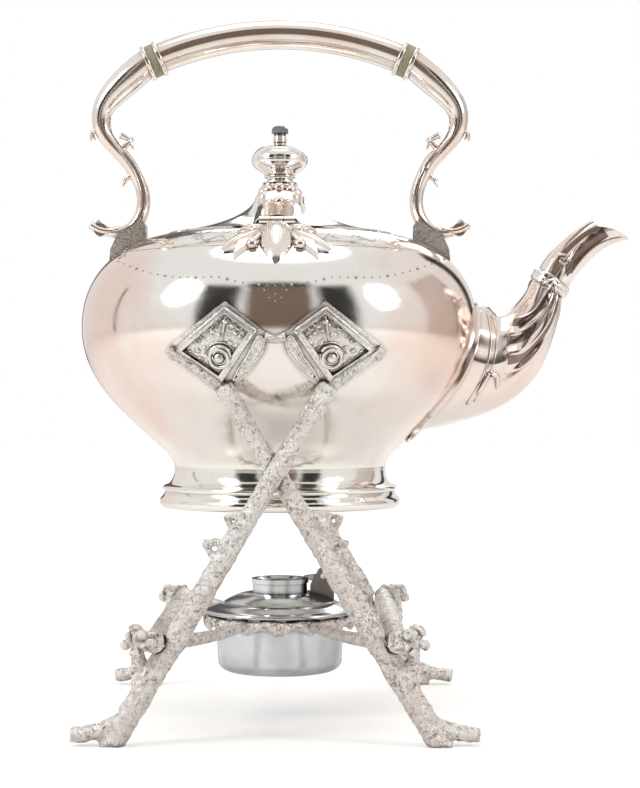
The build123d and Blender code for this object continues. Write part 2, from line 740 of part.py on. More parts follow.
# Leaves on the shoulder, in plan: turn about the hinge's middle, reach, half width
leaf_root_y = hinge_y - knuckle_r - curve_gap
LEAVES = [(0, leaf_reach + leaf_root_y, 8.2), (38, 26.0, 4.6), (-38, 26.0, 4.6)]
LEAF_EDGE = [(0.0, 0.35), (0.16, 0.86), (0.42, 1.0), (0.75, 0.55), (1.0, 0.0)]
bead_r, bead_x = 2.6, 10.2
with BuildPart() as hinge_casting:
    for turn, reach, half_width in LEAVES:
        root = Plane((0, leaf_root_y, 0), x_dir=(1, 0, 0)).rotated((0, 0, turn))
        start = 0 if not turn else 5.0
        right = [(share * half_width, -start - along * reach) for along, share in LEAF_EDGE]
        left = [(-x, y) for x, y in reversed(right)]
        with BuildSketch(root.offset(belly_z)):
            with BuildLine():
                Spline(*right)
                Spline(*left)
                Line(left[-1], right[0])
            make_face()
        extrude(amount=shoulder_rise + leaf_thickness)
    add(body_solid(leaf_thickness), mode=Mode.INTERSECT)
    for side in (-1, 1):
        spot_y = leaf_root_y - 8.5
        radius = hypot(bead_x, spot_y)
        with Locations((side * bead_x, spot_y, seat_point(radius, bead_r * 0.5, upper_body))):
            Sphere(bead_r)
        ear_start = knuckle_half + knuckle_side_gap if side > 0 else -casting_half
        with BuildSketch(Plane.YZ.offset(ear_start)):
            Polygon((hinge_y - knuckle_r - 2, belly_z + shoulder_rise / 2), (hinge_y - knuckle_r - 2, hinge_z - 1),
                    (hinge_y - 1, hinge_z + 1), (hinge_y + 1, hinge_z), (hinge_y + 1, belly_z + shoulder_rise / 2),
                    align=None)
        extrude(amount=casting_half - knuckle_half - knuckle_side_gap)
        with BuildSketch(hinge_axis.offset(ear_start)):
            Circle(knuckle_r)
        extrude(amount=casting_half - knuckle_half - knuckle_side_gap)
    add(body_form, mode=Mode.SUBTRACT)
    with BuildSketch(hinge_axis.offset(-casting_half)):
        Circle(pin_hole)
    extrude(amount=2 * casting_half, mode=Mode.SUBTRACT)
save(hinge_casting, "hinge_casting")

# ---------------------------------------------------------------- stand legs
# Shares of the leg's height, from below the table, and shares of its full radius
LEG_STEPS = [
    (-0.06, 0.95), (0.1, 1.0), (0.28, 1.0), (0.5, 0.92), (0.66, 0.84), (0.742, 0.8), (0.86, 0.79), (1.0, 0.85),
]
lap_low, lap_high = 0.5, 0.95         # the legs draw apart between these shares of their height
fork_z, fork_out, fork_r = 86.0, 9.5, 1.8
cut_stub_z, cut_stub_reach, cut_stub_r = 70.0, 12.0, 2.6


def leg_point(share, lap):
    """Point on a leg's middle line at a share of its height; lap draws it off the pair's plane."""
    away = lap * leg_lap * sin(pi * min(max((share - lap_low) / (lap_high - lap_low), 0), 1)) ** 2
    z = share * leg_top_z
    return (-leg_foot_x + leg_slope * z, -frame_y - away, z)


def leg_form(lap, with_stub):
    """A front leg with its foot on the left: stem, foot branch, crook, side fork and cut stub."""
    with BuildPart() as leg:
        twig([leg_point(share, lap) for share, _ in LEG_STEPS], [swell * leg_low_r for _, swell in LEG_STEPS])
        knee = leg_point(0.075, lap)
        twig([knee, ((knee[0] - foot_branch_x) / 2, -frame_y, 0.55 * knee[2]),
              (-foot_branch_x, -frame_y, foot_branch_r + 1.2)],
             [foot_branch_r * 1.25, foot_branch_r * 1.05, foot_branch_r])
        crook = leg_point(0.14, lap)
        crook_x = -(stretcher_x + stretcher_r + crook_r - 1.2)
        twig([crook, (crook_x - 0.6, -frame_y, 0.68 * crook_top_z), (crook_x, -frame_y, crook_top_z)],
             [crook_r * 1.3, crook_r, crook_r * 1.05])
        low, high = leg_point((fork_z - 6) / leg_top_z, lap), leg_point((fork_z + 7) / leg_top_z, lap)
        tip = (low[0] - fork_out + 4, low[1], fork_z + 5.5)
        twig([low, tip], [fork_r, fork_r])
        twig([tip, high], [fork_r, fork_r])
        with Locations(tip):
            Sphere(fork_r)
        if with_stub:
            spot = leg_point(cut_stub_z / leg_top_z, lap)
            twig([spot, (spot[0] + 1, spot[1] - cut_stub_reach * 0.7, spot[2] + 1)], [cut_stub_r * 1.2, cut_stub_r])
        split(bisect_by=Plane.XY, keep=Keep.TOP)
    return leg.part


def cylinder_y(x, z, radius, y_from, y_to):
    """A round bar along Y, on its own."""
    return extrude(Plane((x, y_from, z), x_dir=(1, 0, 0), z_dir=(0, 1, 0)) * Circle(radius), amount=y_to - y_from)


stretcher_form = cylinder_y(-stretcher_x, stretcher_z, stretcher_r, -stretcher_end_y, stretcher_end_y)
outer_leg = leg_form(1, True)
inner_leg = mirror(leg_form(-1, False), about=Plane.YZ)
cradle_form = cradle_solid(curve_gap)

# ---------------------------------------------------------------- cradle
# Left panel, seen from the front (X, Z); heights are taken from the cradle's upper edge
PANEL = [(-25.5, -41.5), (-50.0, -24.6), (-49.0, -20.6), (-22.5, -0.4), (-7.4, -12.2), (-3.0, -15.2),
         (-4.6, -23.0), (-12.0, -33.0), (-21.0, -40.0)]
DIAMOND = [(-25.0, -37.8), (-46.8, -22.9), (-22.5, -3.0), (-8.2, -13.6)]
LOBE = [(-19.2, -36.6), (-7.4, -16.6), (-5.0, -17.4), (-6.4, -24.0), (-12.6, -31.6)]
slot_middle, slot_length, slot_width, slot_turn = (-35.6, -28.4), 19.0, 3.4, -33.5
rosette_spot = (-25.0, -25.6)
relief_gap = curve_gap + panel_base
lobe_share = 0.7            # the lobe's height as a share of the border's


def panel_layer(outline, gap, border=0.0, radius=0.8):
    """The belly grown by a gap, cut to an outline seen from the front."""
    grown = cradle_solid(gap)
    with BuildPart() as layer:
        with BuildSketch(Plane.XZ.offset(belly_r / 2)):
            Polygon(*[(x, cradle_top_z + z) for x, z in outline], align=None)
            fillet(vertices(), radius)
            if border:
                offset(amount=-border, kind=Kind.INTERSECTION, mode=Mode.SUBTRACT)
        extrude(amount=belly_r)
        add(grown, mode=Mode.INTERSECT)
    return layer.part


base_layer = panel_layer(PANEL, relief_gap)
frame_layer = panel_layer(DIAMOND, relief_gap + panel_relief, panel_border)
lobe_layer = panel_layer(LOBE, relief_gap + lobe_share * panel_relief)
slot_x, slot_z = slot_middle[0], cradle_top_z + slot_middle[1]
edge_low, edge_high = PANEL[0], PANEL[1]


def on_cradle(x, z, gap):
    """Point in front of the belly, at X and Z, the gap being measured along the radius."""
    return (x, -sqrt((belly_radius(min(z, belly_z)) + gap) ** 2 - x ** 2), z)


twig_low_z, twig_high_z = cradle_top_z + edge_low[1], cradle_top_z + edge_high[1] + 1.5
with BuildPart() as panel:
    add(base_layer)
    with BuildSketch(Plane.XZ.offset(belly_r / 2)):
        with Locations(Location((slot_x, slot_z), slot_turn)):
            SlotOverall(slot_length, slot_width)
    extrude(amount=belly_r, mode=Mode.SUBTRACT)
    add(frame_layer)
    add(lobe_layer)
    gap = relief_gap + bridge_r * 0.4
    twig([on_cradle(edge_low[0] + 1, twig_low_z + 1.5, gap), on_cradle(edge_high[0] + 1.5, twig_high_z, gap)],
         [bridge_r * 1.1, bridge_r])
    add(cradle_form, mode=Mode.SUBTRACT)
panel_form = largest(panel.part)
panel_mirrored = mirror(panel_form, about=Plane.YZ)

bridge_z = cradle_top_z + PANEL[5][1] - 2.4
bridge_gap = curve_gap + bridge_r + 0.3
bridge_x = -PANEL[5][0] + 1.6
with BuildPart() as bridge:
    points = [on_cradle(x, bridge_z + rise, bridge_gap) for x, rise in ((-bridge_x, 1.2), (0, 0), (bridge_x, 1.2))]
    twig(points, [bridge_r, bridge_r * 0.85, bridge_r])
    add(cradle_form, mode=Mode.SUBTRACT)
    add(panel_form, mode=Mode.SUBTRACT)
    add(panel_mirrored, mode=Mode.SUBTRACT)
bridge_form = largest(bridge.part)

rosette_x, rosette_z = rosette_spot[0], cradle_top_z + rosette_spot[1]
rosette_turn = atan2(rosette_x, -on_cradle(rosette_x, rosette_z, 0)[1])
slope = belly_radius(rosette_z + 1) - belly_radius(rosette_z - 1)
outward = Vector(sin(rosette_turn), -cos(rosette_turn), -slope / 2).normalized()
rosette_seat = Plane(on_cradle(rosette_x, rosette_z, relief_gap), x_dir=(0, 0, 1), z_dir=outward)
RING_SHARES = [(0.62, 0.35), (0.8, 0.72), (1.0, 0.35)]
with BuildPart() as rosette:
    with BuildSketch(Plane.XZ) as rosette_profile:
        with BuildLine():
            dome = ThreePointArc((0, rosette_height), (0.3 * rosette_r, 0.85 * rosette_height),
                                 (0.5 * rosette_r, 0.35 * rosette_height))
            inner_edge = Line(dome @ 1, (RING_SHARES[0][0] * rosette_r, RING_SHARES[0][1] * rosette_height))
            ring = ThreePointArc(*[(a * rosette_r, b * rosette_height) for a, b in RING_SHARES])
            Polyline(ring @ 1, (rosette_r, -1.5), (0, -1.5), (0, rosette_height))
        make_face()
    revolve(axis=Axis.Z)
seated_rosette = rosette_seat * rosette.part
seated_rosette = seated_rosette - panel_form - cradle_form

PLACES = {
    "front_left": lambda piece: piece,
    "front_right": lambda piece: mirror(piece, about=Plane.YZ),
    "rear_left": lambda piece: mirror(piece, about=Plane.XZ),
    "rear_right": lambda piece: mirror(mirror(piece, about=Plane.YZ), about=Plane.XZ),
}
panel_pair = [panel_form, panel_mirrored]
stretchers = [stretcher_form, mirror(stretcher_form, about=Plane.YZ)]

# The front leg with its foot on the left laps in front; the other is notched to let it pass.
leg_forms = []
for side, form in {"left": outer_leg, "right": inner_leg - outer_leg}.items():
    with BuildPart() as leg:
        add(form)
        for other in panel_pair + stretchers + [cradle_form]:
            add(other, mode=Mode.SUBTRACT)
    front_form = largest(leg.part)
    rear_form = mirror(front_form, about=Plane.XZ)
    save_form(front_form, f"leg_front_{side}")
    save_form(rear_form, f"leg_rear_{side}")
    leg_forms += [front_form, rear_form]

for place, put in PLACES.items():
    save_form(put(panel_form), f"cradle_panel_{place}")

save_form([put(seated_rosette) for put in PLACES.values()], "cradle_rosettes")

for end in ("front", "rear"):
    save_form(PLACES[f"{end}_left"](bridge_form), f"bridge_twig_{end}")

for side, form in zip(("left", "right"), stretchers):
    save_form(form, f"stretcher_{side}")

# ---------------------------------------------------------------- lamp ring
ring_inner_r = lamp_r + curve_gap
ring_outer_r = ring_inner_r + ring_wall
arm_z = ring_top_z - ring_height / 2
arm_sag = 1.5
arm_end_x = -leg_point(arm_z / leg_top_z, 0)[0]
arm_root_x, arm_root_y = [(ring_outer_r - 1) * way / hypot(arm_end_x, frame_y) for way in (arm_end_x, frame_y)]
with BuildPart() as ring_form:
    with BuildSketch(Plane.XY.offset(ring_top_z - ring_height)):
        Circle(ring_outer_r)
    extrude(amount=ring_height)
    for side_x in (-1, 1):
        for side_y in (-1, 1):
            middle_x, middle_y = (arm_root_x + arm_end_x) / 2, (arm_root_y + frame_y) / 2
            twig([(side_x * arm_root_x, side_y * arm_root_y, arm_z),
                  (side_x * middle_x, side_y * middle_y, arm_z - arm_sag),
                  (side_x * arm_end_x, side_y * frame_y, arm_z)],
                 [ring_height / 2 - 0.2, ring_arm_r * 0.8, ring_arm_r])
    with Locations(Plane.XY.offset(ring_top_z - scallop_depth + scallop_r)):
        with PolarLocations(ring_outer_r, scallop_count):
            Cylinder(scallop_r, 6 * ring_wall, rotation=(0, 90, 0), mode=Mode.SUBTRACT)
    with BuildSketch(Plane.XY.offset(ring_top_z - 2 * ring_height)):
        Circle(ring_inner_r)
    extrude(amount=4 * ring_height, mode=Mode.SUBTRACT)
    for form in leg_forms:
        add(form, mode=Mode.SUBTRACT)
save_form(largest(ring_form.part), "lamp_ring")

# ---------------------------------------------------------------- lamp
lamp_base_z = ring_top_z - lamp_height
with BuildPart() as lamp_reservoir:
    with BuildSketch(Plane.XZ):
        with BuildLine():
            side = Polyline((lamp_r, ring_top_z), (lamp_r - lamp_draft, lamp_base_z + lamp_corner))
            corner = Bezier(
                side @ 1, (lamp_r - lamp_draft, lamp_base_z + lamp_corner * 0.4),
                (lamp_r - lamp_draft - lamp_corner * 0.6, lamp_base_z), (lamp_r - lamp_draft - lamp_corner, lamp_base_z),
            )
            Polyline(
                corner @ 1, (0, lamp_base_z), (0, lamp_base_z + lamp_wall),
                (lamp_r - lamp_draft - lamp_corner, lamp_base_z + lamp_wall),
                (lamp_r - lamp_draft - lamp_wall - 0.4, lamp_base_z + lamp_corner),
                (lamp_r - lamp_wall, ring_top_z), side @ 0,
            )
        make_face()
    revolve(axis=Axis.Z)
save(lamp_reservoir, "lamp_reservoir")

flange_edge = 2.2
with BuildPart() as lamp_cover:
    with BuildSketch(Plane.XZ):
        with BuildLine():
            roll = ThreePointArc(
                (flange_r - 1, ring_top_z), (flange_r, ring_top_z + flange_edge / 2), (flange_r - 1, ring_top_z + flange_edge)
            )
            rise = Bezier(
                roll @ 1, (flange_r - 4, ring_top_z + flange_edge),
                (burner_seat_r + 3, burner_seat_z), (burner_seat_r, burner_seat_z),
            )
            Polyline(
                rise @ 1, (burner_hole_r, burner_seat_z), (burner_hole_r, burner_seat_z - lamp_wall),
                (lamp_r - lamp_wall - 0.5, ring_top_z + 1), (lamp_r - lamp_wall - 0.5, ring_top_z), roll @ 0,
            )
        make_face()
    revolve(axis=Axis.Z)
save(lamp_cover, "lamp_cover")

plug_r = burner_hole_r - curve_gap
with BuildPart() as burner_plate:
    with BuildSketch(turning_plane):
        with BuildLine():
            edge = Line((burner_plate_r, burner_seat_z + seat_gap), (burner_plate_r, burner_seat_z + lamp_wall))
            dome = Bezier(
                edge @ 1, (burner_plate_r - 5, collar_z - 1.2), (burner_r + 5, collar_z), (burner_r, collar_z)
            )
            Polyline(
                dome @ 1, (wick_tube_r, collar_z), (wick_tube_r, collar_z - lamp_wall), (burner_r, collar_z - lamp_wall),
                (plug_r - lamp_wall, burner_seat_z + 0.4), (plug_r - lamp_wall, burner_seat_z - plug_depth),
                (plug_r, burner_seat_z - plug_depth), (plug_r, burner_seat_z + seat_gap), edge @ 0,
            )
        make_face()
    revolve(axis=Axis.Z)
save(burner_plate, "burner_plate")

with BuildPart() as burner_collar:
    with BuildSketch(Plane.XY.offset(collar_z)):
        Circle(burner_r)
        Circle(burner_r - burner_wall, mode=Mode.SUBTRACT)
    extrude(amount=burner_height)
    with BuildSketch(Plane.XY.offset(collar_top_z - burner_wall)):
        Circle(burner_r + snuffer_overhang)
        Circle(burner_r - burner_wall, mode=Mode.SUBTRACT)
    extrude(amount=burner_wall)
save(burner_collar, "burner_collar")

wick_tube_top_z = collar_top_z - snuffer_dish - wick_stand - 1.0
with BuildPart() as wick_tube:
    with BuildSketch(Plane.XY.offset(collar_z - wick_tube_drop)):
        Circle(wick_tube_r)
        Circle(wick_tube_r - wick_tube_wall, mode=Mode.SUBTRACT)
    extrude(amount=wick_tube_top_z - collar_z + wick_tube_drop)
save(wick_tube, "wick_tube")

with BuildPart() as wick:
    with BuildSketch(Plane.XY.offset(collar_z - wick_drop)):
        Circle(wick_tube_r - wick_tube_wall - wick_gap)
    extrude(amount=wick_drop + wick_tube_top_z + wick_stand - collar_z)
save(wick, "wick")

snuffer_axis = Plane((snuffer_hinge_x, 0, snuffer_axis_z), x_dir=(1, 0, 0), z_dir=(0, 1, 0))
snuffer_hole = snuffer_pin_r + pin_gap
block_x = burner_r + snuffer_overhang + 0.8
block_end_x = burner_plate_r - 0.6
cheek = snuffer_block_half - snuffer_knuckle_half - knuckle_side_gap
with BuildPart() as snuffer_hinge:
    with BuildSketch(Plane.XZ.offset(-snuffer_block_half)):
        with BuildLine():
            Polyline((block_x, burner_seat_z + 1), (block_end_x, burner_seat_z + 1), (block_end_x, collar_top_z - 1.5),
                     (snuffer_hinge_x + snuffer_knuckle_r, snuffer_axis_z), (snuffer_hinge_x, snuffer_axis_z + 1),
                     (snuffer_hinge_x - snuffer_knuckle_r, snuffer_axis_z), (block_x, collar_top_z - 2.5), close=True)
        make_face()
    extrude(amount=2 * snuffer_block_half)
    with BuildSketch(snuffer_axis.offset(-snuffer_block_half)):
        Circle(snuffer_knuckle_r)
    extrude(amount=2 * snuffer_block_half)
    with BuildSketch(Plane.XZ.offset(-snuffer_knuckle_half - knuckle_side_gap)):
        with BuildLine():
            low_z = snuffer_axis_z - snuffer_knuckle_r - curve_gap
            Polyline((0, low_z), (flange_r, low_z), (flange_r, low_z * 2), (0, low_z * 2), close=True)
        make_face()
    extrude(amount=2 * (snuffer_knuckle_half + knuckle_side_gap), mode=Mode.SUBTRACT)
    with BuildSketch(snuffer_axis.offset(-snuffer_block_half)):
        Circle(snuffer_hole)
    extrude(amount=2 * snuffer_block_half, mode=Mode.SUBTRACT)
    for form in (burner_plate.part, burner_collar.part):
        add(form, mode=Mode.SUBTRACT)
save_form(largest(snuffer_hinge.part), "snuffer_hinge")

with BuildPart() as snuffer_pin:
    with BuildSketch(snuffer_axis.offset(-snuffer_block_half)):
        Circle(snuffer_pin_r)
    extrude(amount=2 * snuffer_block_half)
save(snuffer_pin, "snuffer_pin")

cap_r = burner_r + snuffer_overhang
cap_z = collar_top_z + seat_gap
dish_r = burner_r - burner_wall - 1.2
with BuildPart() as snuffer_cap:
    with BuildSketch(Plane.XZ):
        with BuildLine():
            Polyline(
                (0, cap_z - snuffer_dish), (dish_r - 2, cap_z - snuffer_dish), (dish_r, cap_z), (cap_r, cap_z),
                (cap_r, cap_z + snuffer_wall), (dish_r, cap_z + snuffer_wall),
                (dish_r - 2, cap_z + snuffer_wall - snuffer_dish), (0, cap_z + snuffer_wall - snuffer_dish), close=True,
            )
        make_face()
    revolve(axis=Axis.Z)
    with BuildSketch(Plane.XZ.offset(-snuffer_knuckle_half)):
        with BuildLine():
            Polyline((dish_r - 0.5, cap_z + snuffer_wall / 2), (snuffer_hinge_x, snuffer_axis_z - snuffer_knuckle_r),
                     (snuffer_hinge_x, snuffer_axis_z + 1), (cap_r - 2, cap_z + snuffer_wall + 1.2),
                     (dish_r - 0.5, cap_z + snuffer_wall), close=True)
        make_face()
    extrude(amount=2 * snuffer_knuckle_half)
    with BuildSketch(snuffer_axis.offset(-snuffer_knuckle_half)):
        Circle(snuffer_knuckle_r)
    extrude(amount=2 * snuffer_knuckle_half)
    with BuildSketch(snuffer_axis.offset(-snuffer_knuckle_half)):
        Circle(snuffer_hole)
    extrude(amount=2 * snuffer_knuckle_half, mode=Mode.SUBTRACT)
save(snuffer_cap, "snuffer_cap")
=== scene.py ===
import bmesh
import bpy
import json
import math
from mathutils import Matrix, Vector, noise
from mathutils.bvhtree import BVHTree


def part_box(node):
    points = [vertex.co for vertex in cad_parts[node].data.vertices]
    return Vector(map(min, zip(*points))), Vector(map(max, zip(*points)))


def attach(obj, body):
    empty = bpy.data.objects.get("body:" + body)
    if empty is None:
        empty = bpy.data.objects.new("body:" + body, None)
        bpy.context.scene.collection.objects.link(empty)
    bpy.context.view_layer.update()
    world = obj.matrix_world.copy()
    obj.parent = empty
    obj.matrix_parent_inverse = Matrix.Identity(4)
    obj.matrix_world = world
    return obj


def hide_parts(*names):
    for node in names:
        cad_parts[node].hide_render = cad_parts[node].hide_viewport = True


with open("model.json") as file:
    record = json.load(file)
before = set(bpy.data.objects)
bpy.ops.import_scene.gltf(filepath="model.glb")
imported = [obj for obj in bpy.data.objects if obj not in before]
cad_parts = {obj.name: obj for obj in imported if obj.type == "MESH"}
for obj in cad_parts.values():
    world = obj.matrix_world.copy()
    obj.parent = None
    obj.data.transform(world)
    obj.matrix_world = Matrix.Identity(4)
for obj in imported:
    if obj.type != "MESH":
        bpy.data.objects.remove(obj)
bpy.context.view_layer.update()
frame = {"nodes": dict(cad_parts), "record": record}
nodes = frame["nodes"]
MM = 0.001
# Each side or end, and what X or Y is multiplied by to take a form there that is drawn on the left or in front
SIDES = (("left", 1), ("right", -1))
ENDS = (("front", 1), ("rear", -1))


# ---------------------------------------------------------------- node helpers
def material(name):
    """An empty node material: its tree and its shader."""
    mat = bpy.data.materials.new(name)
    mat.use_nodes = True
    tree = mat.node_tree
    return mat, tree, tree.nodes["Principled BSDF"]


def node(tree, kind, inputs=None, **settings):
    """Add a node, with its settings and the values or links of its inputs."""
    made = tree.nodes.new(kind)
    for key, value in settings.items():
        setattr(made, key, value)
    for key, value in (inputs or {}).items():
        if isinstance(value, bpy.types.NodeSocket):
            tree.links.new(value, made.inputs[key])
        else:
            made.inputs[key].default_value = value
    return made


def object_space(tree):
    """Coordinates of the object, in metres."""
    return node(tree, "ShaderNodeTexCoord").outputs["Object"]


def stretched(tree, where, scale):
    """Coordinates stretched along the axes."""
    return node(tree, "ShaderNodeMapping", {"Vector": where, "Scale": scale}).outputs["Vector"]


def noise_out(tree, where, scale, detail, roughness, distortion=0.0):
    """The value of a noise texture."""
    return node(tree, "ShaderNodeTexNoise", {
        "Vector": where, "Scale": scale, "Detail": detail, "Roughness": roughness, "Distortion": distortion,
    }).outputs["Fac"]


def calculate(tree, operation, *values):
    """The result of a math node."""
    return node(tree, "ShaderNodeMath", dict(enumerate(values)), operation=operation).outputs["Value"]


def ramp(tree, value, stops):
    """A colour ramp over a value."""
    made = node(tree, "ShaderNodeValToRGB", {"Fac": value})
    elements = made.color_ramp.elements
    while len(elements) < len(stops):
        elements.new(0.5)
    for element, (place, colour) in zip(elements, stops):
        element.position = place
        element.color = (*colour, 1)
    return made.outputs["Color"]


def spread(tree, value, low, high, to_low, to_high):
    """Map a value from one range to another."""
    return node(tree, "ShaderNodeMapRange", {
        "Value": value, "From Min": low, "From Max": high, "To Min": to_low, "To Max": to_high,
    }).outputs["Result"]


def tinted(tree, share, colour, other):
    """Mix a colour with another one; share is that of the other colour."""
    made = node(tree, "ShaderNodeMix", {0: share, 6: colour, 7: (*other, 1)}, data_type="RGBA")
    return made.outputs[2]


def hollows(tree, reach):
    """How open the surface is: 1 where nothing is near, less in hollows."""
    return node(tree, "ShaderNodeAmbientOcclusion", {"Distance": reach}, samples=HOLLOW_SAMPLES).outputs["AO"]


def bumped(tree, height, strength, depth, normal=None):
    """The normal of a bump."""
    inputs = {"Height": height, "Strength": strength, "Distance": depth}
    if normal is not None:
        inputs["Normal"] = normal
    return node(tree, "ShaderNodeBump", inputs).outputs["Normal"]


def finish_with(tree, shader, colour, roughness, normal):
    """Lead colour, roughness and normal to the shader."""
    for socket, value in (("Base Color", colour), ("Roughness", roughness), ("Normal", normal)):
        if isinstance(value, bpy.types.NodeSocket):
            tree.links.new(value, shader.inputs[socket])
        else:
            shader.inputs[socket].default_value = value


# ---------------------------------------------------------------- materials
# Scales of the noise textures that every metal has; the patches of warm tarnish have their own
SPOT_SCALE, WEAR_SCALE, SCRATCH_SCALE = 620.0, 95.0, 420.0
CLOUDS_TO_PATCHES = 3.3
SCRATCH_STRETCH = (1.0, 1.0, 22.0)
SCRATCH_DEPTH = 0.08 * MM
HOLLOW_REACH = 2.2 * MM             # how far a hollow of plated metal gathers dark tarnish
HOLLOW_SAMPLES = 6
PALE_END, WARM_REFLECTION_END = 0.03, 0.098   # distances from the middle along X between which the sides take on a painted warm reflection


def metal(name, clean, warm, dark, patch_scale, rough, scratches, crevice, grain=None, sides=0.0):
    """Plated metal: warm tarnish in patches, dark tarnish in hollows, worn roughness and fine scratches.

    rough is the lowest and highest roughness, scratches and crevice are strengths. grain is the scale, depth in
    metres and share of pits of a cast or bark-like surface. sides paints a warm reflection over the tarnish towards
    both ends of X, where the round body faces sideways to the camera, and takes warmth away in between."""
    mat, tree, shader = material(name)
    where = object_space(tree)
    patches = noise_out(tree, where, patch_scale, 3.0, 0.55, 0.4)
    # Painted reflection: warmer towards both ends of X as seen from the camera, less warm in the middle
    if sides:
        across = node(tree, "ShaderNodeSeparateXYZ", {"Vector": where}).outputs["X"]
        outward = calculate(tree, "ABSOLUTE", across)
        shift = spread(tree, outward, PALE_END, WARM_REFLECTION_END, -0.5 * sides, 0.6 * sides)
        patches = calculate(tree, "ADD", patches, shift)
    between = tuple(0.5 * (a + b) for a, b in zip(clean, warm))
    colour = ramp(tree, patches, [(0.36, clean), (0.52, between), (0.66, warm)])
    clouds = noise_out(tree, where, patch_scale * CLOUDS_TO_PATCHES, 5.0, 0.6)
    colour = tinted(tree, spread(tree, clouds, 0.55, 0.8, 0.0, 0.35), colour, [0.82 * c for c in warm])
    colour = tinted(tree, spread(tree, hollows(tree, HOLLOW_REACH), 0.35, 0.95, crevice, 0.0), colour, dark)
    spots = noise_out(tree, where, SPOT_SCALE, 2.0, 0.7)
    colour = tinted(tree, spread(tree, spots, 0.68, 0.8, 0.0, 0.45), colour, dark)
    wear = noise_out(tree, where, WEAR_SCALE, 6.0, 0.65)
    roughness = spread(tree, wear, 0.35, 0.7, *rough)
    fine = noise_out(tree, stretched(tree, where, SCRATCH_STRETCH), SCRATCH_SCALE, 3.0, 0.6)
    normal = bumped(tree, fine, scratches, SCRATCH_DEPTH)
    if grain:
        scale, depth, pitting = grain
        lumps = noise_out(tree, where, scale, 8.0, 0.72, 1.1)
        cracks = noise_out(tree, where, scale * 0.6, 4.0, 0.6, 2.2)
        height = calculate(tree, "ADD", lumps, spread(tree, cracks, 0.36, 0.47, -pitting, 0.0))
        normal = bumped(tree, height, 0.9, depth, normal)
        colour = tinted(tree, spread(tree, height, 0.26, 0.50, 0.9, 0.0), colour, dark)
        specks = noise_out(tree, where, scale * 2.6, 3.0, 0.7)
        colour = tinted(tree, spread(tree, specks, 0.56, 0.66, 0.0, 0.75), colour, clean)
    finish_with(tree, shader, colour, roughness, normal)
    shader.inputs["Metallic"].default_value = 1.0
    return mat


SILVER, PINK, DARK = (0.96, 0.93, 0.88), (0.92, 0.735, 0.645), (0.15, 0.125, 0.11)
# sides=0.44 paints a warm reflection on the body's left and right; the noise patches are real tarnish
kettle_metal = metal("kettle_silver_plate", SILVER, PINK, DARK, 13.0, (0.06, 0.15), 0.12, 0.7, sides=0.44)
handle_metal = metal("handle_silver_plate", (0.95, 0.91, 0.86), (0.90, 0.75, 0.66), DARK,
                     24.0, (0.09, 0.2), 0.16, 0.8)
spout_metal = metal("spout_silver_plate", (0.97, 0.91, 0.86), (0.96, 0.77, 0.68), DARK,
                    22.0, (0.10, 0.22), 0.14, 0.8)
# Painted shade: dark brown metal for the shaded upper parts of the spout's flutes and for the gap under the beak's
# leaf
spout_shade_metal = metal("spout_painted_shade", (0.36, 0.27, 0.25), (0.24, 0.16, 0.145), (0.06, 0.045, 0.04),
                    60.0, (0.16, 0.3), 0.2, 0.9)
carved_metal = metal("carved_silver_plate", (0.98, 0.965, 0.93), (0.94, 0.88, 0.81), (0.15, 0.125, 0.105),
                     40.0, (0.12, 0.28), 0.3, 0.92, grain=(620.0, 0.25 * MM, 0.05))
bark_metal = metal("cast_bark_plate", (0.98, 0.955, 0.92), (0.87, 0.77, 0.72), (0.19, 0.155, 0.145),
                   22.0, (0.2, 0.42), 0.5, 0.62, grain=(420.0, 0.9 * MM, 0.17))
lamp_plate = metal("lamp_worn_plate", (0.80, 0.82, 0.84), (0.24, 0.26, 0.28), (0.05, 0.05, 0.055),
                   17.0, (0.07, 0.2), 0.35, 0.85)
dark_steel = metal("dark_pin_metal", (0.26, 0.25, 0.24), (0.16, 0.145, 0.13), (0.03, 0.03, 0.03),
                   60.0, (0.25, 0.45), 0.5, 0.9)
engraved = metal("engraved_line", (0.56, 0.53, 0.50), (0.46, 0.40, 0.36), (0.10, 0.08, 0.07),
                 30.0, (0.25, 0.4), 0.2, 0.9)


def cream():
    """Ivory-coloured insulator with green-grey edges and fine growth lines."""
    mat, tree, shader = material("ivory_insulator")
    where = object_space(tree)
    lines = noise_out(tree, stretched(tree, where, (30.0, 4.0, 4.0)), 60.0, 5.0, 0.6)
    colour = ramp(tree, lines, [(0.3, (0.22, 0.21, 0.13)), (0.55, (0.36, 0.35, 0.23)), (0.75, (0.50, 0.48, 0.35))])
    in_hollows = spread(tree, hollows(tree, 1.2 * MM), 0.4, 0.95, 0.7, 0.0)
    colour = tinted(tree, in_hollows, colour, (0.05, 0.05, 0.03))
    roughness = spread(tree, lines, 0.3, 0.7, 0.5, 0.34)
    finish_with(tree, shader, colour, roughness, bumped(tree, lines, 0.3, 0.1 * MM))
    return mat


def cotton():
    """Plaited cotton."""
    mat, tree, shader = material("plaited_cotton")
    weave = node(tree, "ShaderNodeTexWave", {
        "Vector": object_space(tree), "Scale": 420.0, "Distortion": 3.0, "Detail": 2.0,
    }, bands_direction="DIAGONAL").outputs["Fac"]
    colour = ramp(tree, weave, [(0.1, (0.34, 0.29, 0.22)), (0.9, (0.72, 0.66, 0.54))])
    finish_with(tree, shader, colour, 0.9, bumped(tree, weave, 0.8, 0.3 * MM))
    return mat


def left_and_right(*names):
    """The left and the right node of each name."""
    return [f"{name}_{side}" for name in names for side, _ in SIDES]


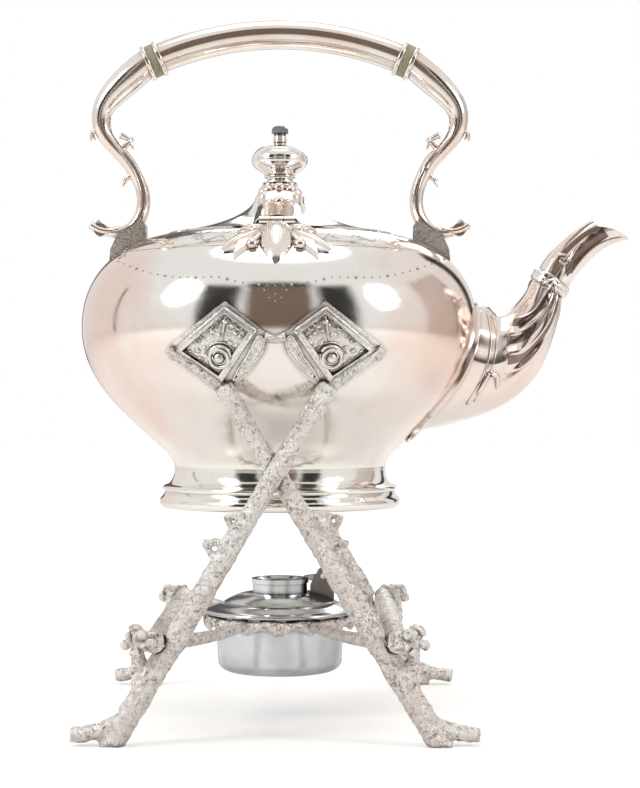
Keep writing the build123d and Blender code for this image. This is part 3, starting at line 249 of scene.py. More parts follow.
NODE_FINISHES = (
    (handle_metal, left_and_right("handle_arm", "arm_collar", "grip_collar")
     + ["handle_grip", "hinge_strap", "hinge_casting"]),
    (carved_metal, left_and_right("handle_socket", "cradle_panel_front", "cradle_panel_rear")
     + ["cradle_rosettes", "snuffer_pin"]),
    (spout_metal, ["spout", "spout_beak", "spout_band", "spout_flange"]),
    (dark_steel, ["snuffer_hinge", "finial_button"]),
)
FINISH = {name: finish for finish, names in NODE_FINISHES for name in names}
SLOT_FINISH = {
    "kettle_silver": kettle_metal, "stand_silver": bark_metal, "lamp_metal": lamp_plate,
    "pin_metal": dark_steel, "insulator": cream(), "wick_cotton": cotton(),
}
for part in frame["record"]["subparts"]:
    slots = nodes[part["node"]].data.materials
    slots.clear()
    slots.append(FINISH.get(part["node"], SLOT_FINISH[part["material_slot"]]))


# ---------------------------------------------------------------- outlines shared with the solids, in mm
NECK_Z, BELLY_Z, RIM_Z = 123.3, 191.9, 237.3
NECK_R, BELLY_R, SEAT_R, LID_R, CROWN_R = 52.7, 98.4, 57.2, 56.3, 12.3
LID_EDGE_Z, CROWN_Z = RIM_Z + 1.05, 256.65
CRADLE_TOP = 200.9


def at_shares(shares, start, end):
    """Points at the given shares of the way from start to end, each axis by itself."""
    return [(start[0] + a * (end[0] - start[0]), start[1] + b * (end[1] - start[1])) for a, b in shares]


LOWER = at_shares([(0, 0), (0.04, 0.185), (1, 0.46), (1, 1)], (NECK_R, NECK_Z), (BELLY_R, BELLY_Z))
UPPER = at_shares([(0, 0), (0, 0.53), (0.374, 0.905), (1, 1)], (BELLY_R, BELLY_Z), (SEAT_R, RIM_Z))
LID_LINE = at_shares([(0, 0), (0.461, 0.142), (0.95, 0.525), (1, 1)], (LID_R, LID_EDGE_Z), (CROWN_R, CROWN_Z))


def bezier(points, t):
    """A point of a cubic curve in the plane."""
    a, b, c, d = (1 - t) ** 3, 3 * t * (1 - t) ** 2, 3 * t * t * (1 - t), t ** 3
    return tuple(a * p + b * q + c * r + d * w for p, q, r, w in zip(*points))


HALVINGS = 22


def find(points, axis, value, rising):
    """The other coordinate of a curve where one coordinate has a value, found by halving."""
    low, high = 0.0, 1.0
    for _ in range(HALVINGS):
        middle = (low + high) / 2
        if (bezier(points, middle)[axis] < value) == rising:
            low = middle
        else:
            high = middle
    return bezier(points, low)[1 - axis]


def belly_radius(z):
    """Radius of the kettle's body at a height."""
    return find(LOWER, 1, z, True) if z < BELLY_Z else find(UPPER, 1, min(z, RIM_Z), True)


def shoulder_z(r):
    """Height of the shoulder, or of the lid inside it, at a distance from the axis."""
    if r > SEAT_R:
        return find(UPPER, 0, min(r, BELLY_R), False)
    return find(LID_LINE, 0, max(r, CROWN_R), False)


def on_panel(x, z, gap):
    """A point in front of the belly, z being measured from the cradle's upper edge."""
    radius = belly_radius(min(CRADLE_TOP + z, BELLY_Z)) + gap
    return Vector((x, -math.sqrt(radius ** 2 - x ** 2), CRADLE_TOP + z))


def on_shoulder(x, y, lift):
    """A point above the shoulder or the lid."""
    return Vector((x, y, shoulder_z(math.hypot(x, y)) + lift))


# ---------------------------------------------------------------- lines, in mm
def smooth_line(points, steps):
    """Points along a smooth line through the given ones."""
    points = [Vector(p) for p in points]
    padded = [points[0]] + points + [points[-1]]
    line = []
    for a, b, c, d in zip(padded, padded[1:], padded[2:], padded[3:]):
        for step in range(steps):
            t = step / steps
            line.append(0.5 * (2 * b + (c - a) * t + (2 * a - 5 * b + 4 * c - d) * t * t
                               + (3 * b - a - 3 * c + d) * t ** 3))
    return line + [points[-1]]


def flat_line(points, steps):
    """A smooth line through points of the plane; with no steps, the points themselves."""
    points = [Vector((x, z, 0)) for x, z in points]
    return smooth_line(points, steps) if steps else points


def upright_line(points, side_x, steps):
    """A smooth line in the plane of the handle, on the side of side_x."""
    return smooth_line([Vector((side_x * x, 0, z)) for x, z in points], steps)


def circle(radius, z, step):
    """A closed line round the axis, with a point every step degrees."""
    turns = [math.radians(step * k) for k in range(360 // step + 1)]
    return [Vector((radius * math.cos(turn), radius * math.sin(turn), z)) for turn in turns]


def spiral(centre, size, start, turns, hand=1, steps=20):
    """Points of a volute in a plane, from its outer end to its eye; start is an angle in degrees."""
    points = []
    for step in range(steps + 1):
        share = step / steps
        turn = math.radians(start) + hand * turns * 2 * math.pi * share
        radius = size * (1 - 0.86 * share)
        points.append((centre[0] + radius * math.cos(turn), centre[1] + radius * math.sin(turn)))
    return points


# Tapers: the thickness of a bar as a share, along it from 0 to 1
def fading(start, loss):
    """Thinner and thinner."""
    return lambda u: start - loss * u


def bulging(ends, rise, start=0.0, run=1.0):
    """Thickest in the middle; start and run pick a stretch of the arch."""
    return lambda u: ends + rise * math.sin(math.pi * (start + run * u))


def swell(u):
    """Full along most of the bar, thin at its ends."""
    return 0.25 + 0.85 * math.sin(math.pi * min(1, 0.06 + 0.94 * u)) ** 0.6


# ---------------------------------------------------------------- mesh helpers, in mm
def piece(name, bm, finish, body, level=0):
    """Turn a mesh in mm into a smooth-shaded piece that rides on a body."""
    bmesh.ops.recalc_face_normals(bm, faces=bm.faces)
    bmesh.ops.scale(bm, vec=(MM, MM, MM), verts=bm.verts)
    mesh = bpy.data.meshes.new(name)
    bm.to_mesh(mesh)
    bm.free()
    mesh.polygons.foreach_set("use_smooth", [True] * len(mesh.polygons))
    made = bpy.data.objects.new(name, mesh)
    bpy.context.scene.collection.objects.link(made)
    mesh.materials.append(finish)
    if level:
        smooth = made.modifiers.new("smooth", "SUBSURF")
        smooth.levels = smooth.render_levels = level
    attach(made, body)
    return made


def roughen(bm, scale, depth):
    """Push a mesh in or out by noise, as on a rough casting."""
    bm.normal_update()
    for vert in bm.verts:
        spot = vert.co * scale
        pit = max(0.0, 0.4 - noise.voronoi(spot * 1.6)[0][0])
        push = noise.noise(spot) + 0.6 * noise.noise(spot * 2.7) - 1.1 * pit
        vert.co += vert.normal * push * depth


def tube(bm, line, radius, sides=8, taper=None, flat=1.0):
    """Sweep a round or flattened bar along a line; taper gives its radius as a share along it."""
    rings, last = [], len(line) - 1
    for i, point in enumerate(line):
        run = (line[min(i + 1, last)] - line[max(i - 1, 0)]).normalized()
        guide = Vector((0, 0, 1)) if abs(run.z) < 0.9 else Vector((1, 0, 0))
        side = run.cross(guide).normalized()
        over = side.cross(run).normalized()
        size = radius * (taper(i / last) if taper else 1.0)
        ring = []
        for k in range(sides):
            turn = 2 * math.pi * k / sides
            ring.append(bm.verts.new(point + side * math.cos(turn) * size + over * math.sin(turn) * size * flat))
        rings.append(ring)
    for first, second in zip(rings, rings[1:]):
        for k in range(sides):
            bm.faces.new((first[k], first[(k + 1) % sides], second[(k + 1) % sides], second[k]))
    bm.faces.new(rings[0])
    bm.faces.new(rings[-1])


def ball(bm, centre, radius, squash=(1, 1, 1), detail=10):
    """A round boss, squashed along the axes."""
    made = bmesh.ops.create_uvsphere(bm, u_segments=detail, v_segments=max(6, detail * 2 // 3), radius=1.0)
    for vert in made["verts"]:
        vert.co = Vector(centre) + Vector([c * radius * q for c, q in zip(vert.co, squash)])


def close_patch(bm, grid, sink, second=None):
    """Cover a grid of vertices with faces, and draw its edge down by sink to a flat underside.

    second says which faces, by row and column, have the piece's second material."""
    for i, (row, after) in enumerate(zip(grid, grid[1:])):
        for j in range(len(row) - 1):
            face = bm.faces.new((row[j], after[j], after[j + 1], row[j + 1]))
            face.material_index = 1 if second and second(i, j) else 0
    edge = grid[0][:] + [row[-1] for row in grid[1:]] + grid[-1][-2::-1] + [row[0] for row in grid[-2:0:-1]]
    below = [bm.verts.new(vert.co + Vector(sink)) for vert in edge]
    for k in range(len(edge)):
        n = (k + 1) % len(edge)
        bm.faces.new((edge[k], edge[n], below[n], below[k]))
    bm.faces.new(below)


def lofted(bm, place, rows, columns, sink):
    """A raised patch: place(u, s) gives its points, with u from 0 to 1 and s from -1 to 1."""
    close_patch(bm, [[bm.verts.new(place(i / rows, 2 * j / columns - 1)) for j in range(columns + 1)]
                     for i in range(rows + 1)], sink)


def surface(*names):
    """A tree of the solids' faces, in mm, to find where a ray meets them."""
    points, faces = [], []
    for name in names:
        mesh, start = nodes[name].data, len(points)
        points += [v.co / MM for v in mesh.vertices]
        faces += [[start + i for i in polygon.vertices] for polygon in mesh.polygons]
    return BVHTree.FromPolygons(points, faces)


def shoulder_leaf(bm, root, tip, bend, half_width, height, rib, egg=False):
    """A leaf or an egg-shaped bud lying on the shoulder, seen in plan from root to tip."""
    root, tip = Vector((*root, 0)), Vector((*tip, 0))
    across = (tip - root).cross(Vector((0, 0, 1))).normalized()

    def place(u, s):
        if egg:
            width = half_width * abs(math.sin(math.pi * u ** 0.8)) ** 0.6
            dome = abs(math.sin(math.pi * u)) ** 0.5
        else:
            width = half_width * math.sin(math.pi * (0.06 + 0.92 * u) ** 0.85) ** 0.8
            dome = math.sin(math.pi * (0.04 + 0.94 * u)) ** 0.6
        spot = root.lerp(tip, u) + across * (bend * math.sin(math.pi * u) + s * width)
        raised = height * dome * ((1 - abs(s) ** 2.2) * (1 - rib) + rib * max(0.0, 1 - 3.2 * abs(s)))
        raised += height * 0.35 * dome * math.exp(-((abs(s) - 0.75) / 0.16) ** 2) * rib * 2
        return on_shoulder(spot.x, spot.y, raised + 0.15)
    lofted(bm, place, 18, 14, (0, 0, -1.4))


# ---------------------------------------------------------------- carved cradle panels
# All of it is drawn for the left front panel, as X and the height from the cradle's upper edge
DIAMOND = [(-25.0, -37.8), (-46.8, -22.9), (-22.5, -3.0), (-8.2, -13.6)]
DIAMOND_MIDDLE = (-25.6, -19.3)
FRAMES = ((0.97, 4.4, 0.75), (0.84, 4.3, 0.5), (0.72, 2.8, 0.42))       # share of the diamond, gap, radius
# Centre, size, start in degrees, turns, hand, gap, radius
SCROLLS = (((-16.4, -11.6), 3.0, 150, 1.25, -1, 3.1, 0.62), ((-29.0, -11.7), 2.7, 30, 1.2, 1, 3.1, 0.6),
           ((-34.3, -18.0), 2.1, 40, 1.1, 1, 3.0, 0.5), ((-33.6, -26.8), 2.0, -60, 1.0, -1, 3.0, 0.5))
STEMS = (([(-22.6, -5.8), (-22.8, -10.0), (-23.4, -14.5), (-24.0, -18.4)], 0.75, fading(1.15, 0.5)),
         ([(-22.6, -6.4), (-20.6, -9.5), (-19.9, -13.0)], 0.5, fading(1.0, 0.6)),
         ([(-22.6, -6.4), (-25.2, -9.2), (-26.2, -12.4)], 0.5, fading(1.0, 0.6)))
HOOD_EYE, HOODS = (-24.8, -26.6), ((7.6, 0.62), (6.4, 0.5))             # arcs over the rosette: size, radius
ROSETTE_EYE, ROSETTE_RINGS = (-25.0, -25.6), ((5.0, 0.8), (3.1, 0.55))
BERRIES = ((-22.4, -9.6, 1.5), (-17.6, -14.9, 1.2), (-28.4, -14.0, 1.2), (-34.8, -22.4, 1.3), (-20.2, -19.4, 1.3),
           (-31.4, -21.0, 1.1), (-15.2, -19.0, 1.0), (-38.6, -22.6, 1.0), (-26.4, -7.9, 1.0))
LOBE = [(-19.4, -36.4), (-12.9, -31.6), (-6.6, -24.6), (-4.9, -18.2), (-7.2, -16.4), (-9.6, -19.6),
        (-12.6, -25.4), (-16.6, -31.0)]
LOBE_VEIN = [(-16.2, -32.6), (-11.6, -27.4), (-8.0, -21.2)]
SLOT_RIM = [(-44.2, -23.6), (-35.0, -29.6), (-27.4, -34.6), (-27.6, -33.2), (-35.0, -26.4), (-42.6, -22.0)]
# The leg's twig runs on along the panel's lower edge to its outer corner
TWIG = [(-22.6, -41.5), (-25.6, -38.2), (-32.0, -33.2), (-39.6, -28.0), (-47.0, -22.9), (-48.6, -21.2)]
TWIG_STUMPS = ((-46.4, -24.8), (-37.6, -30.2))
GROUND_GRAINS = 26
GOLDEN_SHARE = 0.618034             # spreads the grains of the ground evenly


def panel_pieces(end, side, side_x, side_y):
    """The carving of one panel, and the twig along its edge."""
    bm = bmesh.new()

    def carve(points, gap, radius, steps=0, taper=None):
        """Carve one raised line."""
        placed = [on_panel(q.x, q.y, gap) for q in flat_line(points, steps)]
        tube(bm, [Vector((side_x * q.x, side_y * q.y, q.z)) for q in placed], radius, 7, taper, 0.8)

    def boss(x, z, gap, radius, squash, detail):
        """Set one boss."""
        spot = on_panel(x, z, gap)
        ball(bm, (side_x * spot.x, side_y * spot.y, spot.z), radius, squash, detail)

    mx, mz = DIAMOND_MIDDLE
    for share, gap, radius in FRAMES:
        ring = [(mx + share * (x - mx), mz + share * (z - mz)) for x, z in DIAMOND]
        for (ax, az), (bx, bz) in zip(ring, ring[1:] + ring[:1]):
            carve([(ax + (bx - ax) * k / 6, az + (bz - az) * k / 6) for k in range(7)], gap, radius)
    for centre, size, start, turns, hand, gap, radius in SCROLLS:
        carve(spiral(centre, size, start, turns, hand), gap, radius)
    for points, radius, taper in STEMS:
        carve(points, 3.0, radius, 5, taper)
    for size, radius in HOODS:
        turns = [math.radians(20 + 14 * k) for k in range(11)]
        carve([(HOOD_EYE[0] + size * math.cos(a), HOOD_EYE[1] + size * math.sin(a)) for a in turns],
              3.2, radius, taper=bulging(0.35, 0.65))
    for size, radius in ROSETTE_RINGS:
        carve([(ROSETTE_EYE[0] + size * math.cos(0.3 * k), ROSETTE_EYE[1] + size * math.sin(0.3 * k))
               for k in range(22)], 4.5, radius)
    for x, z, size in BERRIES:
        boss(x, z, 2.7, size, (1.2, 0.9, 0.9), 9)
    carve(LOBE + LOBE[:1], 4.1, 0.62, 4)
    carve(LOBE_VEIN, 4.1, 0.5, 5, bulging(0.5, 0.5))
    for k in range(7):
        u = 0.08 + k * 0.14
        boss(-17.4 + 10.4 * u + 0.8 * math.sin(9 * u), -34.2 + 15.4 * u, 4.0, 0.75, (1, 0.7, 1), 7)
    carve(SLOT_RIM + SLOT_RIM[:1], 2.7, 0.5, 4)
    for k in range(GROUND_GRAINS):
        u, v = (GOLDEN_SHARE * k) % 1.0, (k + 0.5) / GROUND_GRAINS
        x = mx + (u - 0.5) * 34 * (1 - abs(2 * v - 1)) + 3 * (v - 0.5)
        boss(x, mz + (v - 0.5) * 23, 2.3, 0.9 + 0.5 * u, (1.25, 0.8, 0.85), 8)
    roughen(bm, 0.55, 0.22)
    piece(f"panel_carving_{end}_{side}", bm, carved_metal, "stand")

    bm = bmesh.new()
    placed = [on_panel(q.x, q.y, 3.4) for q in flat_line(TWIG, 9)]
    tube(bm, [Vector((side_x * q.x, side_y * q.y, q.z)) for q in placed], 3.9, 14, fading(1.15, 0.5), 0.75)
    for x, z in TWIG_STUMPS:
        boss(x, z, 4.6, 2.2, (1, 1, 1), 12)
    roughen(bm, 0.42, 0.65)
    piece(f"panel_twig_{end}_{side}", bm, bark_metal, "stand")


for end, side_y in ENDS:
    for side, side_x in SIDES:
        panel_pieces(end, side, side_x, side_y)


# ---------------------------------------------------------------- bark on the stand's castings
BARK_VOXEL = 0.95                   # mm, the size of the new faces
BARK_LUMP, BARK_PIT = 0.75, 1.1     # mm, how far lumps stand out and pits go in
BARK_SCALE = 260.0                  # lumps and pits per metre, roughly


def bark(name):
    """A casting's surface, remade as knotted and pitted bark; it stands for its solid."""
    made = bpy.data.objects.new(f"bark_{name}", nodes[name].data.copy())
    bpy.context.scene.collection.objects.link(made)
    low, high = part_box(name)
    again = made.modifiers.new("again", "REMESH")
    again.mode = "VOXEL"
    again.voxel_size = BARK_VOXEL * MM
    again.use_smooth_shade = True
    bpy.context.view_layer.update()
    graph = bpy.context.evaluated_depsgraph_get()
    mesh = bpy.data.meshes.new_from_object(made.evaluated_get(graph))
    made.modifiers.clear()
    made.data = mesh
    moved = []
    for vert in mesh.vertices:
        spot = vert.co * BARK_SCALE
        knots = noise.noise(spot * 0.35)
        cells = noise.voronoi(spot * 0.9)[0][0]
        grain = noise.fractal(spot * 1.6, 1.0, 2.0, 4)
        pits = BARK_PIT * max(0.0, 0.42 - cells) * 2.2
        depth = BARK_LUMP * (0.9 * knots + 0.55 * grain) - pits - 0.12 * BARK_PIT
        place = vert.co + vert.normal * depth * MM
        moved.append([min(max(c, a), b) for c, a, b in zip(place, low, high)])
    for vert, place in zip(mesh.vertices, moved):
        vert.co = place
    mesh.update()
    mesh.materials.clear()
    mesh.materials.append(bark_metal)
    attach(made, "stand")
    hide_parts(name)


for name in left_and_right("leg_front", "leg_rear", "stretcher"):
    bark(name)


# ---------------------------------------------------------------- bud and leaves at the lid's hinge
BUD_ROOT, BUD_LENGTH, BUD_HALF_WIDTH, BUD_HEIGHT = -62.5, 28.5, 9.2, 6.2

bm = bmesh.new()
shoulder_leaf(bm, (0, BUD_ROOT), (0, BUD_ROOT - BUD_LENGTH), 0.0, BUD_HALF_WIDTH, BUD_HEIGHT, 0.0, egg=True)
for side in (-1, 1):
    shoulder_leaf(bm, (side * 5.5, -70.0), (side * 25.5, -82.5), side * 2.6, 6.2, 4.0, 0.45)
    shoulder_leaf(bm, (side * 4.0, -66.0), (side * 18.5, -67.0), side * 1.4, 4.2, 3.6, 0.45)
    ball(bm, on_shoulder(side * 11.0, -82.6, 1.2), 2.9, (1, 1, 0.95), 14)
    stalk = ((7.0, -77.0, 2.0), (9.2, -80.0, 2.0), (11.0, -82.6, 1.4))
    tube(bm, smooth_line([on_shoulder(side * x, y, lift) for x, y, lift in stalk], 4), 1.2)
    for k in (1, 2, 3):
        fall = 1 - (0.228 * k) ** 2.2
        shares = [0.12 + 0.055 * j for j in range(13)]
        ridge = [on_shoulder(side * 2.1 * k * math.sin(math.pi * u ** 0.8) ** 0.6, BUD_ROOT - BUD_LENGTH * u,
                             0.1 + BUD_HEIGHT * math.sin(math.pi * u) ** 0.5 * fall) for u in shares]
        tube(bm, ridge, 0.4, 6, bulging(0.4, 0.7))
piece("hinge_bud_and_leaves", bm, handle_metal, "kettle")

# Ribbed leaf over the strap that runs up the lid
strap_low, strap_high = [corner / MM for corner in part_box("hinge_strap")]
strap_faces = surface("hinge_strap")
ABOVE_ALL = 400                     # mm, a height above the whole object


def strap_top(y):
    """Height of the strap's upper side."""
    found = [strap_faces.ray_cast(Vector((x, y, ABOVE_ALL)), Vector((0, 0, -1)))[0] for x in (-2.5, 0.3, 2.5)]
    return max([q.z for q in found if q is not None] + [shoulder_z(abs(y))])


def over_strap(u, s):
    """A point of the leaf, from the hinge to the finial."""
    y = strap_low.y + 2.5 + (strap_high.y - strap_low.y - 3.0) * u
    width = (strap_high.x - strap_low.x) / 2 + 0.5 + 1.1 * math.sin(math.pi * min(1, 1.25 * u))
    x = s * width
    arch = 1 - abs(s) ** 2.6
    rib = 0.5 * math.exp(-(s / 0.16) ** 2) + 0.4 * math.exp(-((abs(s) - 0.62) / 0.12) ** 2)
    height = strap_top(y) + 0.5 + 1.2 * math.sin(math.pi * u) + rib
    ground = shoulder_z(math.hypot(x, y)) + 0.1
    return Vector((x, y, ground + max(0.3, height - ground) * max(0.0, arch) ** 0.4))


bm = bmesh.new()
lofted(bm, over_strap, 26, 22, (0, 0, -0.4))
for k, (y, lift) in enumerate(((-17.5, 1.4), (-24.0, 1.2), (-30.0, 1.0))):
    for side in (-1, 0, 1):
        centre = (side * (5.2 - 0.5 * k), y + abs(side) * 1.4, strap_top(y) + lift - abs(side) * 1.3)
        ball(bm, centre, 3.0 - 0.35 * k, (1, 1, 0.9), 14)
piece("strap_leaf", bm, handle_metal, "lid")

# Ring of bosses round the foot of the finial, beads on the finial and grooves of its button
FINIAL_BOSSES = 8
BEADS = ((259.4, 8.3, 0.42), (264.4, 8.2, 0.42), (267.4, 7.5, 0.42), (275.6, 14.0, 0.22))   # height, ring, bead

bm = bmesh.new()
for k in range(FINIAL_BOSSES):
    turn = math.radians(22.5 + 360 // FINIAL_BOSSES * k)
    ball(bm, (8.2 * math.cos(turn), 8.2 * math.sin(turn), 258.6), 3.5, (1, 1, 1.15), 14)
    ball(bm, (6.9 * math.cos(turn + 0.39), 6.9 * math.sin(turn + 0.39), 262.9), 2.2, (1, 1, 0.8), 12)
for z, radius, bead in BEADS:
    tube(bm, circle(radius, z, 6), bead, 7)
for z in (285.0, 286.2, 287.3):
    tube(bm, circle(2.5, z, 15), 0.95)
piece("finial_bosses", bm, handle_metal, "lid")


# ---------------------------------------------------------------- engraving on the shoulder
BORDER_RINGS = (59.6, 60.9, 82.0)   # radii of the plain rings
WAVE_R, WAVE_HEIGHT, WAVE_REPEATS = 71, 6.5, 18

bm = bmesh.new()


def cut_line(points, radius, taper=None):
    """One engraved line on the shoulder, from points as distance and angle in degrees."""
    line = []
    for r, angle in points:
        turn = math.radians(angle)
        line.append(on_shoulder(r * math.cos(turn), r * math.sin(turn), 0.02))
    tube(bm, line, radius, 5, taper, 0.6)


for r in BORDER_RINGS:
    cut_line([(r, 3 * k) for k in range(121)], 0.13)
for k in range(WAVE_REPEATS):
    length = 360 / WAVE_REPEATS
    middle = length * k
    wave = [(WAVE_R + WAVE_HEIGHT * math.sin(math.radians(20 * s)), middle + s * length / 18) for s in range(19)]
    cut_line(wave, 0.17)
    for hand in (-1, 1):
        centre = middle + 5.2 + hand * 4.6
        volute = spiral((0, 0), 3.6, 90 * hand, 1.2, hand, 16)
        cut_line([(WAVE_R - hand * 4.0 + a, centre + b * 0.8) for a, b in volute], 0.17, fading(1, 0.5))
        for petal in range(3):
            turn = math.radians(60 * petal + 30)
            tip = (WAVE_R + hand * 5.5 + 2.6 * math.cos(turn), centre + 2.4 * math.sin(turn))
            cut_line([(WAVE_R + hand * 3.4, centre), tip], 0.2, bulging(0.5, 1.0))
piece("shoulder_scrolls", bm, engraved, "kettle")

# Dotted swag across the front and the back, with a drop of dots under its middle
SWAG_DOTS, SWAG_HALF, SWAG_TOP = 45, 80, 224        # number, half width and height of the ends
SMALL_DOT, LARGE_DOT = 0.42, 0.7
SWAG_DROP = ((0, 203.5), (-5, 205.5), (5, 205.5), (0, 200.4), (-2.6, 202.0), (2.6, 202.0))

bm = bmesh.new()
for _, side_y in ENDS:
    swag, drop = [], [(x, z, SMALL_DOT) for x, z in SWAG_DROP]
    for k in range(SWAG_DOTS):
        share = k / (SWAG_DOTS - 1)
        sag = 1 - (2 * share - 1) ** 2
        z = SWAG_TOP - 13.5 * sag - 3.0 * abs(math.sin(3 * math.pi * share))
        swag.append((-SWAG_HALF + 2 * SWAG_HALF * share, z, SMALL_DOT if k % 4 else LARGE_DOT))
    for x, z, size in swag + drop:
        radius = belly_radius(z)
        if abs(x) < radius - 2:
            ball(bm, (x, -side_y * math.sqrt(radius ** 2 - x ** 2), z), size, detail=7)
piece("engraved_swag", bm, engraved, "kettle")


# ---------------------------------------------------------------- ornament on the spout, as X and Z
BESIDE_ALL = 120                    # mm, a distance from the spout's middle plane past the whole object
spout_faces = surface("spout", "spout_beak", "spout_band", "kettle_body", "spout_flange")


def beside(x, z, hand, lift, faces=spout_faces):
    """The point of the surface seen from the side at X and Z, raised along its normal, if there is one."""
    spot, normal, _, _ = faces.ray_cast(Vector((x, -BESIDE_ALL * hand, z)), Vector((0, hand, 0)))
    if spot is None:
        return None
    if normal.y * hand > 0:
        normal = -normal
    return spot + normal * lift


def side_lines(bm, points, radius, lift, taper=None, steps=6, flat=1.0):
    """The same raised line on both sides of the spout."""
    for _, hand in ENDS:
        placed = [beside(p.x, p.y, hand, lift) for p in flat_line(points, steps)]
        placed = [q for q in placed if q is not None]
        if len(placed) < 3:
            continue
        line = [placed[0]]
        for q in placed[1:]:
            line.append(line[-1].lerp(q, 0.75) if len(line) < len(placed) - 1 else q)
        tube(bm, line, radius, 8, taper, flat)


# The ridges between the flutes, from the uppermost to the lowest
RIDGES = [
    [(115.4, 196.4), (121.0, 197.9), (126.4, 201.6), (131.6, 208.8), (134.4, 214.0)],
    [(112.0, 188.4), (119.4, 189.6), (126.4, 194.6), (132.4, 203.0), (136.0, 211.4)],
    [(110.6, 178.6), (119.6, 180.6), (127.6, 187.8), (134.2, 198.4), (138.0, 209.2)],
    [(109.6, 168.4), (119.0, 171.2), (128.2, 179.8), (135.6, 191.8), (139.8, 206.8)],
]
FLUTES = len(RIDGES) - 1
FLUTE_COLUMNS = 9                   # columns of faces in a flute
SHADED_COLUMNS = range(1, 5)          # those of them painted dark as shade, under the upper ridge
SHADE_START, SHADE_END = 0.06, 0.97   # shares of a flute's length between which they are
FLUTE_RISE = 1.9                    # mm, how far the ridges stand out


def flutes(end, hand):
    """Hollow flutes between the ridges on one side of the spout, rounded off at its root, with painted shade on the
    faces under each upper ridge.
    """
    lines = [flat_line(points, 8) for points in RIDGES]
    rows, columns = len(lines[0]) - 1, FLUTES * FLUTE_COLUMNS
    bm, grid = bmesh.new(), []
    for i in range(rows + 1):
        u, row = i / rows, []
        for j in range(columns + 1):
            k = min(j // FLUTE_COLUMNS, FLUTES - 1)
            v = (j - FLUTE_COLUMNS * k) / FLUTE_COLUMNS
            spot = lines[k][i].lerp(lines[k + 1][i], v)
            hollow = math.sin(math.pi * v) ** 0.7 * min(1.0, (u / 0.10) ** 0.6) * (1 - 0.35 * u)
            edge = min(1.0, 11 * u) * min(1.0, 0.35 + 9 * (1 - u))
            outer = min(1.0, 0.25 + 4 * min(j, columns - j) / FLUTE_COLUMNS)
            lift = FLUTE_RISE * edge * outer * (1 - 0.94 * hollow) * (1 - 0.35 * u) - 0.3 * (1 - edge)
            q = beside(spot.x, spot.y, hand, lift)
            row.append(bm.verts.new(q if q is not None else Vector((spot.x, -hand * 2.0, spot.y))))
        grid.append(row)
    # The faces under each flute's upper ridge get the second material, painted shade
    close_patch(bm, grid, (0, hand * 1.6, 0),
                lambda i, j: SHADE_START < i / rows < SHADE_END and j % FLUTE_COLUMNS in SHADED_COLUMNS)
    made = piece(f"spout_flutes_{end}", bm, spout_metal, "kettle")
    made.data.materials.append(spout_shade_metal)


for end, hand in ENDS:
    flutes(end, hand)

ROOT_LINES = (
    ([(102.6, 199.6), (103.8, 190.0), (102.8, 178.0), (98.4, 165.0), (92.0, 154.0)], 0.55),
    ([(105.4, 198.4), (106.6, 190.0), (105.8, 178.0), (101.6, 165.4), (95.6, 155.2)], 0.35),
)
ROOT_LEAF_EYE = (103.2, 169.2)
ROOT_LEAF_TIPS = (((97.2, 158.6), (100.8, 164.6)), ((106.8, 161.4), (107.0, 166.6)))
narrowing = fading(1.1, 0.5)

bm = bmesh.new()
for points, radius in ROOT_LINES:
    side_lines(bm, points, radius, 0.1)
side_lines(bm, spiral(ROOT_LEAF_EYE, 3.4, 80, 1.2, 1, 18), 0.55, 0.25, narrowing, steps=1)
for tip, bend in ROOT_LEAF_TIPS:
    side_lines(bm, [ROOT_LEAF_EYE, bend, tip], 1.7, -0.35, bulging(0.35, 1.0, 0.15, 0.8), flat=0.55)
piece("spout_root_leaf", bm, spout_metal, "kettle")

BEAK_LINES = (      # points, radius, lift
    ([(138.6, 227.6), (142.0, 233.0), (147.4, 238.6), (153.6, 243.6), (157.4, 245.0)], 0.75, 0.2),
    ([(143.2, 224.6), (146.4, 230.2), (150.2, 234.6)], 0.7, 0.3),
    ([(144.8, 218.8), (149.8, 225.6), (156.2, 231.8), (163.6, 235.6), (170.6, 237.2)], 0.6, 0.2),
)

bm = bmesh.new()
side_lines(bm, spiral((140.6, 225.4), 3.1, 120, 1.35, -1, 22), 0.62, 0.3, narrowing, steps=1)
for points, radius, lift in BEAK_LINES:
    side_lines(bm, points, radius, lift, swell)
piece("beak_leaf", bm, spout_metal, "kettle")

# Painted shade: a dark sheet with a jagged upper edge, laid between the beak's leaf and its lip where the gap lies
# in shade
GAP_LOW = [(142.6, 217.6), (147.4, 223.6), (153.2, 230.0), (159.6, 235.2), (164.4, 238.0)]
GAP_HIGH = [(141.4, 221.2), (144.6, 226.8), (150.0, 233.4), (156.4, 239.0), (161.2, 242.4)]
GAP_COLUMNS = 4

for end, hand in ENDS:
    bm, rows = bmesh.new(), []
    for i, (a, b) in enumerate(zip(flat_line(GAP_LOW, 6), flat_line(GAP_HIGH, 6))):
        b = b + Vector((-0.5, 0.5, 0)) * (i % 6 - 2.5) * 0.45
        spots = [beside(q.x, q.y, hand, 0.22) for q in (a.lerp(b, v / GAP_COLUMNS) for v in range(GAP_COLUMNS + 1))]
        if all(q is not None for q in spots):
            rows.append([bm.verts.new(q) for q in spots])
    for first, second in zip(rows, rows[1:]):
        for j in range(GAP_COLUMNS):
            bm.faces.new((first[j], second[j], second[j + 1], first[j + 1]))
    for edge in (0, -1):
        tube(bm, [row[edge].co.copy() for row in rows], 0.5, 7, swell)
    piece(f"beak_gap_shade_{end}", bm, spout_shade_metal, "kettle")

# Knotted band: three strands wound round between spout and beak, and a tuft of three lobes on each side
BAND_COS, BAND_SIN = 0.548, 0.8365          # lean of the spout's axis at the band
low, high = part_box("spout_band")
band_middle, band_size = (low + high) / 2 / MM, (high - low) / MM
run, across = Vector((BAND_COS, 0, BAND_SIN)), Vector((-BAND_SIN, 0, BAND_COS))
band_over, band_side = (band_size.x / 2 - 1.5) / BAND_SIN - 0.1, band_size.y / 2 - 0.1

